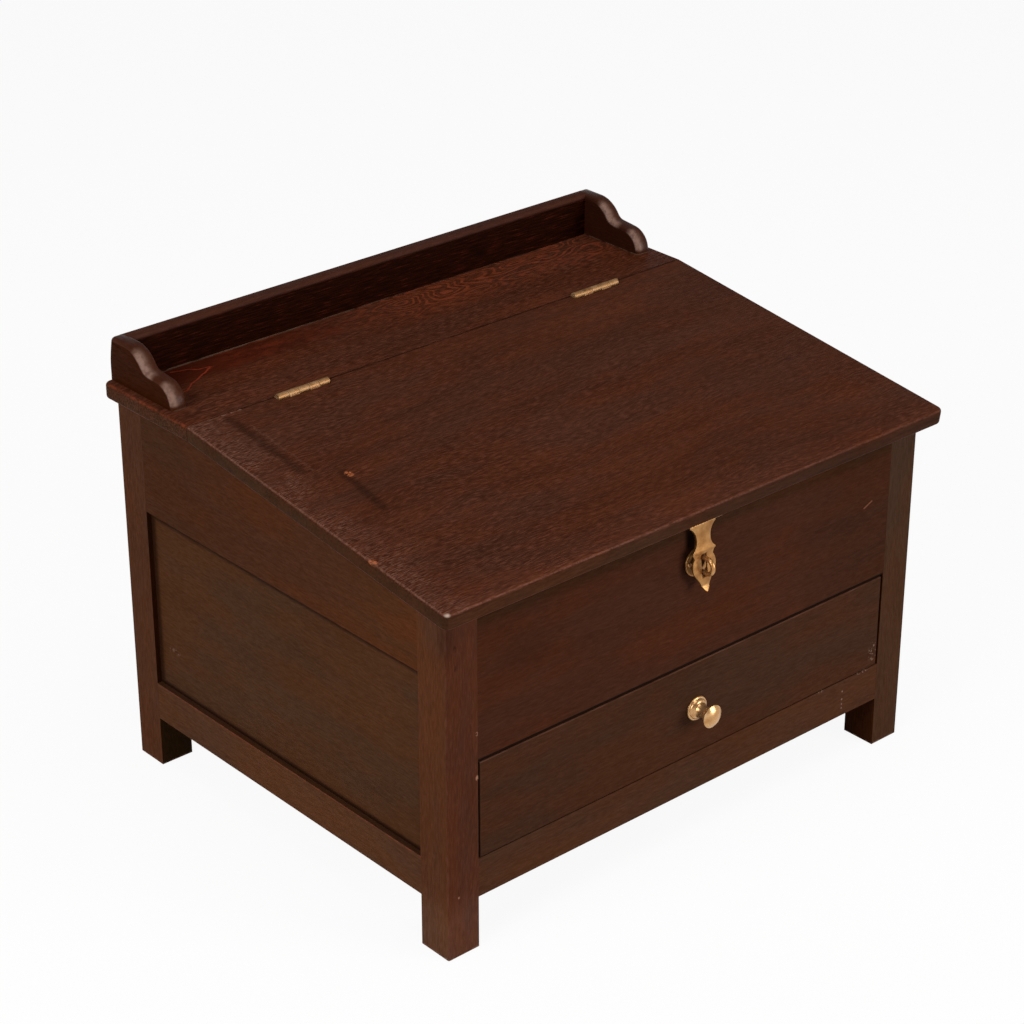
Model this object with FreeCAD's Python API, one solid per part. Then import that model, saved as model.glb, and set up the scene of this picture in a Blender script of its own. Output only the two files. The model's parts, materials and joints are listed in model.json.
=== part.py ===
import FreeCAD, Part
import math
import os

# Letter writing box: a framed body on four legs, a fixed rear shelf with a gallery, a sloping lid on two
# butt hinges, a hasp with its staple, and one drawer. Millimetres, +Z up, the front faces -Y, +X is the
# right-hand side seen from the front. Z = 0 is the ground under the feet, X = 0 the middle of the width.

# ---- Driving dimensions -------------------------------------------------------------------------------

# Framed body
body_width = 400.0
body_depth = 322.0
leg_width = 24.0
leg_depth = 25.0
foot_height = 36.0
bottom_rail_height = 27.0
panel_opening_height = 127.0
back_top_rail_height = 75.0
rail_thickness = 18.0
panel_thickness = 5.0
panel_recess = 3.5
groove_depth = 6.0
tenon_length = 12.0
tenon_thickness = 6.0
tenon_spacing = 1.0
tenon_shoulder = 6.0
arris_bevel = 0.7

# Boards inside the body
front_board_thickness = 18.0
front_rail_depth = 25.0
bottom_board_thickness = 5.0
bottom_board_lift = 4.0
bottom_board_groove = 4.0
well_floor_thickness = 6.0
well_floor_lift = 3.0
ledger_height = 10.0

# Shelf, gallery and lid
board_thickness = 11.0
shelf_depth = 90.5
side_overhang = 10.0
lid_front_overhang = 13.0
lid_slope = 7.2
lid_rest_gap = 0.2
lid_joint_gap = 0.5
board_corner_radius = 5.0
board_edge_bevel = 1.5
gallery_side_inset = 6.0
gallery_back_inset = 1.5
gallery_height = 29.5
gallery_board_thickness = 11.0
gallery_edge_bevel = 1.8
bracket_thickness = 12.0
bracket_depth = 66.0
bracket_flat_top = 17.0
bracket_shoulder_radius = 22.0
bracket_shoulder_slope = 55.0
bracket_valley_radius = 7.0
bracket_waist_slope = 5.0
bracket_nose_radius = 15.0

# The brass fittings were set by eye, each a little right of the middle
hinges_x = 2.0
hasp_x = 0.5
knob_x = 4.5

# Flat sides that stand for the round of small pegs and of the staple's wire
peg_sides = 8

# Butt hinges between shelf and lid
hinge_spacing = 250.0
hinge_length = 40.0
hinge_axis_setback = 2.9
hinge_axis_lift = 0.3
hinge_barrel_radius = 2.4
hinge_pin_radius = 1.1
hinge_pin_clearance = 0.05
hinge_knuckles = 5
hinge_knuckle_gap = 0.3
leaf_thickness = 1.0
leaf_height = 8.2
notch_end_gap = 0.6
leaf_screw_spacing = 24.0
leaf_screw_length = 10.0
leaf_screw_radius = 1.4

# Hasp under the front edge of the lid
hasp_pivot_reach = 2.6
hasp_pivot_drop = 3.6
hasp_barrel_radius = 2.0
hasp_pin_radius = 0.8
hasp_pin_clearance = 0.06
hasp_rest_tilt = 7.0
hasp_thickness = 1.2
hasp_overlay_thickness = 0.8
hasp_width = 21.5
hasp_barrel_clearance = 0.5
hasp_fishtail_length = 7.0
hasp_neck_width = 11.7
hasp_neck_rise = 9.7
hasp_wing_width = 19.4
hasp_wing_rise = 2.8
hasp_nick_width = 15.4
hasp_teardrop_radius = 9.75
hasp_tip_length = 4.6
hasp_tip_width = 6.2
hasp_tip_bend = 22.0
hasp_tail_length = 13.4
hasp_slot_width = 4.6
hasp_slot_clearance = 0.5
hasp_leaf_reach = 7.5

# Staple on the front board
staple_below_pivot = 30.0
staple_wire_radius = 1.6
staple_loop_radius = 5.0
staple_loop_reach = 9.2
staple_leg_depth = 12.0
staple_plate_radius = 9.8
staple_plate_thickness = 1.0
staple_pin_spacing = 14.0
staple_pin_radius = 0.7
staple_pin_length = 9.0
staple_pin_head_radius = 1.4
staple_pin_head_height = 0.7

# Drawer
drawer_opening_height = 68.0
drawer_side_gap = 1.2
drawer_top_gap = 1.4
drawer_run_gap = 0.3
drawer_front_thickness = 16.0
drawer_side_thickness = 10.0
drawer_side_drop = 3.0
drawer_back_gap = 22.0
drawer_bottom_thickness = 4.0
drawer_bottom_lift = 5.0
drawer_groove_depth = 4.0
dovetail_count = 3
dovetail_length = 11.0
dovetail_slope = 9.0
dovetail_end_margin = 6.0
dovetail_share = 0.62
runner_width = 22.0
guide_width = 12.0
guide_height = 12.0
stop_width = 24.0
stop_height = 3.6
stop_gap = 0.3
stop_spacing = 200.0

# Drawer knob, turned in brass
knob_reach = 17.5
knob_flange_radius = 8.3
knob_flange_thickness = 1.5
knob_collar_radius = 5.4
knob_waist_radius = 2.8
knob_waist_reach = 10.2
knob_head_radius = 7.9
knob_head_rim_reach = 14.3
knob_dome_bands = 3
knob_screw_radius = 1.8
knob_screw_grip = 8.0
knob_screw_head_radius = 3.8
knob_screw_head_height = 2.2

# ---- Places worked out from the dimensions ------------------------------------------------------------

half_width = body_width / 2
leg_inner_x = half_width - leg_width
rail_inner_x = half_width - rail_thickness
panel_outer_x = half_width - panel_recess
panel_inner_x = panel_outer_x - panel_thickness
board_half_width = half_width + side_overhang

# Tenons from the front and back stop short of those from the sides.
cross_tenon_end = half_width - (rail_thickness + tenon_thickness) / 2 - tenon_spacing

# The knob reaches furthest forward and the body's back furthest rearward; Y = 0 is midway between them.
body_front = (knob_reach - body_depth) / 2
body_back = body_front + body_depth
front_leg_back = body_front + leg_depth
back_leg_front = body_back - leg_depth
front_board_back = body_front + front_board_thickness
front_rail_back = body_front + front_rail_depth
back_rail_front = body_back - rail_thickness
back_panel_back = body_back - panel_recess
back_panel_front = back_panel_back - panel_thickness
split_y = body_back - shelf_depth

opening_bottom = foot_height + bottom_rail_height
opening_top = opening_bottom + drawer_opening_height
panel_top = opening_bottom + panel_opening_height
shelf_bottom = panel_top + back_top_rail_height
shelf_top = shelf_bottom + board_thickness
bottom_board_bottom = foot_height + bottom_board_lift
bottom_board_top = bottom_board_bottom + bottom_board_thickness
well_floor_bottom = opening_top + well_floor_lift
well_floor_top = well_floor_bottom + well_floor_thickness

slope_sin = math.sin(math.radians(lid_slope))
slope_cos = math.cos(math.radians(lid_slope))
slope_tan = slope_sin / slope_cos

hinge_axis_y = split_y - hinge_axis_setback
hinge_axis_z = shelf_top + hinge_axis_lift
hinge_leaf_bottom = hinge_axis_z - leaf_height

drawer_half_width = leg_inner_x - drawer_side_gap
drawer_bottom_edge = opening_bottom + drawer_run_gap
drawer_top_edge = opening_top - drawer_top_gap
drawer_side_top = drawer_top_edge - drawer_side_drop
drawer_side_inner_x = drawer_half_width - drawer_side_thickness
drawer_front_back = body_front + drawer_front_thickness
drawer_back_back = back_rail_front - drawer_back_gap
drawer_board_bottom = drawer_bottom_edge + drawer_bottom_lift
drawer_board_top = drawer_board_bottom + drawer_bottom_thickness
knob_z = (drawer_bottom_edge + drawer_top_edge) / 2

X_AXIS = FreeCAD.Vector(1, 0, 0)
Y_AXIS = FreeCAD.Vector(0, 1, 0)
Z_AXIS = FreeCAD.Vector(0, 0, 1)


def lid_underside(y):
    """Height of the sloping underside of the closed lid at depth y."""
    return shelf_bottom - (split_y - y) * slope_tan


def lid_seat(y):
    """Height of the body's sloping top edge, just under the lid."""
    return lid_underside(y) - lid_rest_gap


hasp_pivot_y = body_front - hasp_pivot_reach
hasp_pivot_z = lid_underside(hasp_pivot_y) - hasp_pivot_drop
staple_z = hasp_pivot_z - staple_below_pivot
staple_loop_y = body_front - staple_loop_reach
staple_outer_radius = staple_loop_radius + staple_wire_radius
hasp_slot_top = staple_below_pivot - staple_outer_radius - hasp_slot_clearance
staple_far_point = math.hypot(staple_loop_reach - hasp_pivot_reach, staple_below_pivot) + staple_outer_radius
hasp_slot_bottom = staple_far_point + hasp_slot_clearance


# ---- Small building functions -------------------------------------------------------------------------

def box(x_range, y_range, z_range):
    """A block between three pairs of coordinates."""
    low = FreeCAD.Vector(min(x_range), min(y_range), min(z_range))
    size = [max(r) - min(r) for r in (x_range, y_range, z_range)]
    return Part.makeBox(size[0], size[1], size[2], low)


def beside(side, inner, outer):
    """The X range from inner to outer on the left (-1) or right (+1) side."""
    return (side * inner, side * outer)


def rod(radius, start, axis, length):
    """A cylinder from the point start along axis."""
    return Part.makeCylinder(radius, length, FreeCAD.Vector(*start), axis)


def side_profile(points, x_range):
    """A prism along X whose outline is a list of (y, z) corners."""
    corners = [FreeCAD.Vector(min(x_range), y, z) for y, z in points]
    face = Part.Face(Part.makePolygon(corners + corners[:1]))
    return face.extrude(X_AXIS * (max(x_range) - min(x_range)))


def many_sided(radius):
    """Corners of a regular outline round the origin in the XY plane, with flats facing X and Y."""
    turns = [2 * math.pi * (i + 0.5) / peg_sides for i in range(peg_sides)]
    return [FreeCAD.Vector(radius * math.cos(turn), radius * math.sin(turn), 0) for turn in turns]


def peg(radius, start, axis, length):
    """A straight peg with a few flat sides, from the point start along axis."""
    corners = many_sided(radius)
    solid = Part.Face(Part.makePolygon(corners + corners[:1])).extrude(Z_AXIS * length)
    solid.Placement = FreeCAD.Placement(FreeCAD.Vector(*start), FreeCAD.Rotation(Z_AXIS, axis))
    return solid


def rounded(shape, radius, chosen):
    """The shape with a fillet on each edge for which chosen(edge) is true."""
    edges = [edge for edge in shape.Edges if chosen(edge)]
    return shape.makeFillet(radius, edges)


def bevelled(shape, size, chosen):
    """The shape with a small flat on each edge for which chosen(edge) is true."""
    edges = [edge for edge in shape.Edges if chosen(edge)]
    return shape.makeChamfer(size, edges)


def is_straight_along(edge, axis):
    """True for a straight edge parallel to axis."""
    if not isinstance(edge.Curve, Part.Line):
        return False
    return abs(abs(edge.Curve.Direction.dot(axis)) - 1) < 1e-6


def middle(edge):
    """The point halfway along an edge."""
    return edge.valueAt((edge.FirstParameter + edge.LastParameter) / 2)


def fused(pieces):
    """One solid from overlapping or touching pieces."""
    return pieces[0].multiFuse(pieces[1:]).removeSplitter()


# ---- Rails, panels and boards of the body -------------------------------------------------------------

def side_rail_tenons(side, bottom, tops):
    """Tenons at the front and back end of a side rail; tops gives the height of each."""
    middle_x = half_width - rail_thickness / 2
    x_range = beside(side, middle_x - tenon_thickness / 2, middle_x + tenon_thickness / 2)
    front = box(x_range, (front_leg_back - tenon_length, front_leg_back), (bottom, tops[0]))
    back = box(x_range, (back_leg_front, back_leg_front + tenon_length), (bottom, tops[1]))
    return [front, back]


def make_side_panel(side):
    """A flat panel held in grooves of the rails and legs, set back from their faces."""
    return box(beside(side, panel_inner_x, panel_outer_x),
               (front_leg_back - groove_depth, back_leg_front + groove_depth),
               (opening_bottom - groove_depth, panel_top + groove_depth))


def make_side_top_rail(side):
    """The upper side rail: its top follows the lid's slope, then the level shelf."""
    outline = [(front_leg_back, panel_top), (back_leg_front, panel_top), (back_leg_front, shelf_bottom),
               (split_y, shelf_bottom), (split_y, lid_seat(split_y)), (front_leg_back, lid_seat(front_leg_back))]
    rail = side_profile(outline, beside(side, rail_inner_x, half_width))
    tops = (lid_seat(body_front) - tenon_shoulder, shelf_bottom - tenon_shoulder)
    tenons = side_rail_tenons(side, panel_top + tenon_shoulder, tops)
    return fused([rail] + tenons).cut(make_side_panel(side))


def make_side_bottom_rail(side):
    """The lower side rail, grooved for the panel above and the bottom board inside."""
    rail = box(beside(side, rail_inner_x, half_width), (front_leg_back, back_leg_front),
               (foot_height, opening_bottom))
    top = opening_bottom - tenon_shoulder
    tenons = side_rail_tenons(side, foot_height + tenon_shoulder, (top, top))
    return fused([rail] + tenons).cut(make_side_panel(side)).cut(bottom_board_blank())


def cross_rail(y_range, z_range, tenon_y, tenon_z):
    """A rail between left and right legs, with a tenon at each end."""
    rail = box((-leg_inner_x, leg_inner_x), y_range, z_range)
    tenons = box((-cross_tenon_end, cross_tenon_end),
                 (tenon_y - tenon_thickness / 2, tenon_y + tenon_thickness / 2), tenon_z)
    return fused([rail, tenons])


def make_back_panel():
    """The rear panel, held like the side panels."""
    return box((-leg_inner_x - groove_depth, leg_inner_x + groove_depth), (back_panel_front, back_panel_back),
               (opening_bottom - groove_depth, panel_top + groove_depth))


def make_back_top_rail():
    """The upper rear rail under the shelf."""
    tenon_y = body_back - rail_thickness / 2
    rail = cross_rail((back_rail_front, body_back), (panel_top, shelf_bottom), tenon_y,
                      (panel_top + tenon_shoulder, shelf_bottom - tenon_shoulder))
    return rail.cut(make_back_panel())


def make_back_bottom_rail():
    """The lower rear rail."""
    tenon_y = body_back - rail_thickness / 2
    rail = cross_rail((back_rail_front, body_back), (foot_height, opening_bottom), tenon_y,
                      (foot_height + tenon_shoulder, opening_bottom - tenon_shoulder))
    return rail.cut(make_back_panel()).cut(bottom_board_blank())


def make_front_bottom_rail():
    """The rail under the drawer."""
    rail = cross_rail((body_front, front_rail_back), (foot_height, opening_bottom),
                      body_front + front_rail_depth / 2,
                      (foot_height + tenon_shoulder, opening_bottom - tenon_shoulder))
    return rail.cut(bottom_board_blank())


def make_front_board():
    """The wide board above the drawer, its top edge cut to the lid's slope."""
    outline = [(body_front, opening_top), (front_board_back, opening_top),
               (front_board_back, lid_seat(front_board_back)), (body_front, lid_seat(body_front))]
    board = side_profile(outline, (-leg_inner_x, leg_inner_x))
    tenon_y = body_front + front_board_thickness / 2
    tenons = box((-cross_tenon_end, cross_tenon_end),
                 (tenon_y - tenon_thickness / 2, tenon_y + tenon_thickness / 2),
                 (opening_top + tenon_shoulder, lid_seat(body_front) - tenon_shoulder))
    board = fused([board, tenons])
    return board.cut(make_staple_loop()).cut(make_staple_pins())


def leg_blank(side, front):
    """A leg before its mortises and grooves are cut, its outermost corner bevelled."""
    x_range = beside(side, leg_inner_x, half_width)
    if front:
        outline = [(body_front, 0), (front_leg_back, 0), (front_leg_back, lid_seat(front_leg_back)),
                   (body_front, lid_seat(body_front))]
        blank = side_profile(outline, x_range)
    else:
        blank = box(x_range, (back_leg_front, body_back), (0, shelf_bottom))
    corner_y = body_front if front else body_back
    return bevelled(blank, arris_bevel, lambda edge: is_straight_along(edge, Z_AXIS)
                    and abs(middle(edge).y - corner_y) < 1e-6 and abs(middle(edge).x) > half_width - 1e-6)


def make_leg(side, front):
    """A leg with the mortises and grooves that take the rails and panels."""
    leg = leg_blank(side, front)
    housed = [make_side_top_rail(side), make_side_bottom_rail(side), make_side_panel(side)]
    if front:
        housed += [make_front_board(), make_front_bottom_rail()]
    else:
        housed += [make_back_top_rail(), make_back_bottom_rail(), make_back_panel()]
    for piece in housed:
        leg = leg.cut(piece)
    return leg


def corner_boxes():
    """The square sections of the four legs, which boards inside are notched around."""
    boxes = []
    for side in (-1, 1):
        for y_range in ((body_front, front_leg_back), (back_leg_front, body_back)):
            boxes.append(box(beside(side, leg_inner_x, half_width), y_range, (0, shelf_bottom)))
    return boxes


def notched_at_legs(board):
    """A board with its corners cut out around the legs."""
    for corner in corner_boxes():
        board = board.cut(corner)
    return board


def bottom_board_blank():
    """The thin board under the drawer space, before its corners are notched."""
    return box((-rail_inner_x - bottom_board_groove, rail_inner_x + bottom_board_groove),
               (front_rail_back - bottom_board_groove, back_rail_front + bottom_board_groove),
               (bottom_board_bottom, bottom_board_top))


def make_bottom_board():
    """The bottom board, held in grooves of the four bottom rails."""
    return notched_at_legs(bottom_board_blank())


def make_well_floor():
    """The floor of the letter well, above the drawer."""
    board = box((-panel_inner_x, panel_inner_x), (front_board_back, back_panel_front),
                (well_floor_bottom, well_floor_top))
    return notched_at_legs(board)


def make_well_ledger(side):
    """A strip on the side panel that carries the well floor."""
    return box(beside(side, leg_inner_x, panel_inner_x), (front_leg_back, back_leg_front),
               (well_floor_bottom - ledger_height, well_floor_bottom))


def make_drawer_runner(side):
    """The bearer that a drawer side slides on, level with the bottom rail."""
    runner = box(beside(side, rail_inner_x - runner_width, rail_inner_x), (front_rail_back, back_rail_front),
                 (bottom_board_top, opening_bottom))
    return notched_at_legs(runner)


def make_drawer_guide(side):
    """The strip beside a drawer side that keeps the drawer straight."""
    return box(beside(side, leg_inner_x, leg_inner_x + guide_width), (front_leg_back, back_leg_front),
               (opening_bottom, opening_bottom + guide_height))


def make_drawer_stops():
    """Two small blocks on the front rail that the drawer front meets when it is shut."""
    blocks = []
    for side in (-1, 1):
        middle_x = side * stop_spacing / 2
        blocks.append(box((middle_x - stop_width / 2, middle_x + stop_width / 2),
                          (drawer_front_back + stop_gap, front_rail_back),
                          (opening_bottom, opening_bottom + stop_height)))
    return Part.makeCompound(blocks)


# ---- Shelf and gallery --------------------------------------------------------------------------------

def make_top_shelf():
    """The fixed rear board, rounded at its back corners and bevelled along its outer edges."""
    shelf = box((-board_half_width, board_half_width), (split_y, body_back), (shelf_bottom, shelf_top))
    shelf = rounded(shelf, board_corner_radius,
                    lambda edge: is_straight_along(edge, Z_AXIS) and middle(edge).y > body_back - 1e-6)
    shelf = bevelled(shelf, board_edge_bevel,
                     lambda edge: not is_straight_along(edge, Z_AXIS) and middle(edge).y > split_y + 1e-6)
    for screw in hinge_screws(split_y - leaf_thickness, 1):
        shelf = shelf.cut(screw)
    return shelf


def bracket_outline():
    """Corner and arc points of the bracket in (distance from its back, height), from top back to nose."""
    steep = math.radians(bracket_shoulder_slope)
    gentle = math.radians(bracket_waist_slope)
    shoulder_end = (bracket_flat_top + bracket_shoulder_radius * math.sin(steep),
                    gallery_height - bracket_shoulder_radius * (1 - math.cos(steep)))
    shoulder_mid = (bracket_flat_top + bracket_shoulder_radius * math.sin(steep / 2),
                    gallery_height - bracket_shoulder_radius * (1 - math.cos(steep / 2)))
    valley_centre = (shoulder_end[0] + bracket_valley_radius * math.sin(steep),
                     shoulder_end[1] + bracket_valley_radius * math.cos(steep))
    half_way = (steep + gentle) / 2
    valley_mid = (valley_centre[0] - bracket_valley_radius * math.sin(half_way),
                  valley_centre[1] - bracket_valley_radius * math.cos(half_way))
    valley_end = (valley_centre[0] - bracket_valley_radius * math.sin(gentle),
                  valley_centre[1] - bracket_valley_radius * math.cos(gentle))
    nose_centre_u = bracket_depth - bracket_nose_radius
    nose_start_u = nose_centre_u + bracket_nose_radius * math.sin(gentle)
    nose_start_h = valley_end[1] - (nose_start_u - valley_end[0]) * math.tan(gentle)
    nose_centre_h = nose_start_h - bracket_nose_radius * math.cos(gentle)
    nose_turn = (gentle + math.radians(90)) / 2
    nose_mid = (nose_centre_u + bracket_nose_radius * math.sin(nose_turn),
                nose_centre_h + bracket_nose_radius * math.cos(nose_turn))
    return [(bracket_flat_top, gallery_height), shoulder_mid, shoulder_end, valley_mid, valley_end,
            (nose_start_u, nose_start_h), nose_mid, (bracket_depth, nose_centre_h)]


def make_gallery_bracket(side):
    """A scrolled end bracket: level top, round shoulder, hollow, waist and round nose, all tangent."""
    back = body_back - gallery_back_inset
    outer_x = board_half_width - gallery_side_inset
    start_x = min(side * outer_x, side * (outer_x - bracket_thickness))
    top, a_mid, a_end, b_mid, b_end, waist, n_mid, n_end = [
        FreeCAD.Vector(start_x, back - u, shelf_top + h) for u, h in bracket_outline()]
    back_top = FreeCAD.Vector(start_x, back, top.z)
    below = shelf_top - bracket_nose_radius
    back_low = FreeCAD.Vector(start_x, back, below)
    nose_low = FreeCAD.Vector(start_x, n_end.y, below)
    edges = [Part.LineSegment(back_low, back_top), Part.LineSegment(back_top, top), Part.Arc(top, a_mid, a_end),
             Part.Arc(a_end, b_mid, b_end), Part.LineSegment(b_end, waist), Part.Arc(waist, n_mid, n_end),
             Part.LineSegment(n_end, nose_low), Part.LineSegment(nose_low, back_low)]
    face = Part.Face(Part.Wire([edge.toShape() for edge in edges]))
    bracket = face.extrude(X_AXIS * bracket_thickness)
    bracket = bevelled(bracket, gallery_edge_bevel,
                       lambda edge: not is_straight_along(edge, X_AXIS) and middle(edge).z > below + 1e-6
                       and middle(edge).y < back - 1e-6)
    above_shelf = box((start_x, start_x + bracket_thickness), (n_end.y, back), (shelf_top, top.z))
    return bracket.common(above_shelf)


def make_gallery_back():
    """The low board along the back of the shelf, between the brackets."""
    inner_x = board_half_width - gallery_side_inset - bracket_thickness
    back = body_back - gallery_back_inset
    board = box((-inner_x, inner_x), (back - gallery_board_thickness, back),
                (shelf_top, shelf_top + gallery_height))
    return bevelled(board, gallery_edge_bevel,
                    lambda edge: is_straight_along(edge, X_AXIS) and middle(edge).z > shelf_top + 1e-6)


# ---- Lid ----------------------------------------------------------------------------------------------

def make_lid_board():
    """The sloping lid, notched at its rear edge for the hinges."""
    rear_y = split_y - lid_joint_gap
    low_front_y = body_front - lid_front_overhang + board_thickness * slope_sin / 2
    low_front = (low_front_y, lid_underside(low_front_y))
    high_front = (low_front[0] - board_thickness * slope_sin, low_front[1] + board_thickness * slope_cos)
    low_rear = (rear_y, lid_underside(rear_y))
    high_rear = (rear_y, lid_underside(rear_y) + board_thickness / slope_cos)
    lid = side_profile([low_front, low_rear, high_rear, high_front], (-board_half_width, board_half_width))
    front_limit = low_front_y + 1e-3
    lid = rounded(lid, board_corner_radius,
                  lambda edge: not is_straight_along(edge, X_AXIS) and middle(edge).y < front_limit
                  and edge.Length < 2 * board_thickness)
    lid = bevelled(lid, board_edge_bevel, lambda edge: is_lid_arris(edge, rear_y))
    for x in hinge_centres():
        lid = lid.cut(lid_notch(x))
    for screw in hinge_screws(split_y - 2 * hinge_axis_setback + leaf_thickness, -1):
        lid = lid.cut(screw)
    return lid.cut(make_hasp_leaf_screws())


def is_lid_arris(edge, rear_y):
    """True for the edges round the lid's faces, apart from those of its rear edge and its short corners."""
    if middle(edge).y > rear_y - 1e-3:
        return False
    normal = FreeCAD.Vector(0, -slope_sin, slope_cos)
    return not is_straight_along(edge, normal)


def lid_notch(x):
    """The space at the lid's rear edge for one hinge: both leaves and the barrel."""
    half = hinge_length / 2 + notch_end_gap
    return box((x - half, x + half), (split_y - 2 * hinge_axis_setback, split_y),
               (hinge_leaf_bottom - notch_end_gap, shelf_top + board_thickness))


# ---- Butt hinges --------------------------------------------------------------------------------------

def hinge_centres():
    """The middle of each hinge along X, left then right."""
    return [hinges_x - hinge_spacing / 2, hinges_x + hinge_spacing / 2]


def knuckle_ranges(x, length, count, gap):
    """The X range of each knuckle of a barrel of the given length centred on x."""
    knuckle = (length - gap * (count - 1)) / count
    start = x - length / 2
    return [(start + i * (knuckle + gap), start + i * (knuckle + gap) + knuckle) for i in range(count)]


def hinge_leaf(x, wall_y, toward, first, bore):
    """A hinge leaf on the wall at wall_y, with every second knuckle from first; toward points to the pin."""
    face_y = wall_y + toward * leaf_thickness
    plate_top = hinge_axis_z - hinge_barrel_radius - hinge_knuckle_gap
    plate = box((x - hinge_length / 2, x + hinge_length / 2), (wall_y, face_y), (hinge_leaf_bottom, plate_top))
    pieces = [plate]
    for x_range in knuckle_ranges(x, hinge_length, hinge_knuckles, hinge_knuckle_gap)[first::2]:
        start = (x_range[0], hinge_axis_y, hinge_axis_z)
        pieces.append(rod(hinge_barrel_radius, start, X_AXIS, x_range[1] - x_range[0]))
        pieces.append(box(x_range, (wall_y, face_y), (plate_top, hinge_axis_z)))
    hole = rod(bore, (x - hinge_length, hinge_axis_y, hinge_axis_z), X_AXIS, 2 * hinge_length)
    leaf = fused(pieces).cut(hole)
    for screw in hinge_screws(face_y, -toward):
        leaf = leaf.cut(screw)
    return leaf


def make_hinge_fixed_leaf(x):
    """The leaf screwed to the front edge of the shelf."""
    return hinge_leaf(x, split_y, -1, 0, hinge_pin_radius)


def make_hinge_lid_leaf(x):
    """The leaf screwed to the wall of the lid's notch."""
    return hinge_leaf(x, split_y - 2 * hinge_axis_setback, 1, 1, hinge_pin_radius + hinge_pin_clearance)


def make_hinge_pin(x):
    """The pin through one barrel."""
    return rod(hinge_pin_radius, (x - hinge_length / 2, hinge_axis_y, hinge_axis_z), X_AXIS, hinge_length)


def hinge_screws(face_y, toward):
    """The screws of both hinges through the leaves whose faces lie at face_y, driven along Y."""
    z = (hinge_leaf_bottom + hinge_axis_z - hinge_barrel_radius) / 2
    screws = []
    for x in hinge_centres():
        for end in (-1, 1):
            start = (x + end * leaf_screw_spacing / 2, face_y, z)
            screws.append(peg(leaf_screw_radius, start, Y_AXIS * toward, leaf_screw_length))
    return screws


def make_hinge_shelf_screws():
    """Four screws into the shelf."""
    return Part.makeCompound(hinge_screws(split_y - leaf_thickness, 1))


def make_hinge_lid_screws():
    """Four screws into the lid."""
    return Part.makeCompound(hinge_screws(split_y - 2 * hinge_axis_setback + leaf_thickness, -1))


# ---- Hasp and staple ----------------------------------------------------------------------------------

def on_lid_underside(shape):
    """Moves a shape drawn under a level board, with y from the hasp's pivot, onto the lid's underside."""
    shape.rotate(FreeCAD.Vector(0, 0, 0), X_AXIS, lid_slope)
    shape.translate(FreeCAD.Vector(hasp_x, hasp_pivot_y, lid_underside(hasp_pivot_y)))
    return shape


def hasp_knuckles():
    """The X ranges of the three knuckles on the hasp's pin."""
    return knuckle_ranges(hasp_x, hasp_width, 3, hinge_knuckle_gap)


def hasp_knuckle(x_range, bore):
    """One knuckle round the hasp's pin."""
    start = (x_range[0], hasp_pivot_y, hasp_pivot_z)
    length = x_range[1] - x_range[0]
    return rod(hasp_barrel_radius, start, X_AXIS, length).cut(rod(bore, start, X_AXIS, length))


def make_hasp_leaf_screws():
    """Two screws up into the lid through the hasp's leaf."""
    screws = []
    for side in (-1, 1):
        screw = peg(leaf_screw_radius, (side * hasp_width / 4, -hasp_leaf_reach / 2, -leaf_thickness), Z_AXIS,
                    board_thickness * 0.75)
        screws.append(on_lid_underside(screw))
    return Part.makeCompound(screws)


def make_hasp_lid_leaf():
    """The hasp's upper leaf: a plate under the lid's overhang with two knuckles that hang from it."""
    plate = box((-hasp_width / 2, hasp_width / 2), (-hasp_leaf_reach, hasp_barrel_radius), (-leaf_thickness, 0))
    pieces = [on_lid_underside(plate)]
    first, _, last = hasp_knuckles()
    back_y = hasp_pivot_y + hasp_barrel_radius
    for x_range in (first, last):
        pieces.append(hasp_knuckle(x_range, hasp_pin_radius))
        web_top = lid_underside(back_y) - leaf_thickness / 2
        pieces.append(box(x_range, (back_y - leaf_thickness, back_y - 0.05), (hasp_pivot_z, web_top)))
    return fused(pieces).cut(make_hasp_leaf_screws())


def make_hasp_pin():
    """The pin of the hasp's hinge."""
    return rod(hasp_pin_radius, (hasp_x - hasp_width / 2, hasp_pivot_y, hasp_pivot_z), X_AXIS, hasp_width)


def mirrored_outline(half):
    """A closed wire from the right half of an outline, given as lists of two or three (x, drop) points."""
    edges = []
    for side in (1, -1):
        for points in half:
            corners = [FreeCAD.Vector(side * x, 0, -drop) for x, drop in points]
            if len(corners) == 3:
                edges.append(Part.Arc(*corners).toShape())
            else:
                edges.append(Part.makeLine(*corners))
    return Part.Wire(Part.__sortEdges__(edges))


def plate_from(wire, front, thickness):
    """A plate whose front face lies at y = front, from an outline drawn in the XZ plane."""
    face = Part.Face(wire)
    face.translate(FreeCAD.Vector(0, front, 0))
    return face.extrude(Y_AXIS * thickness)


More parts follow.
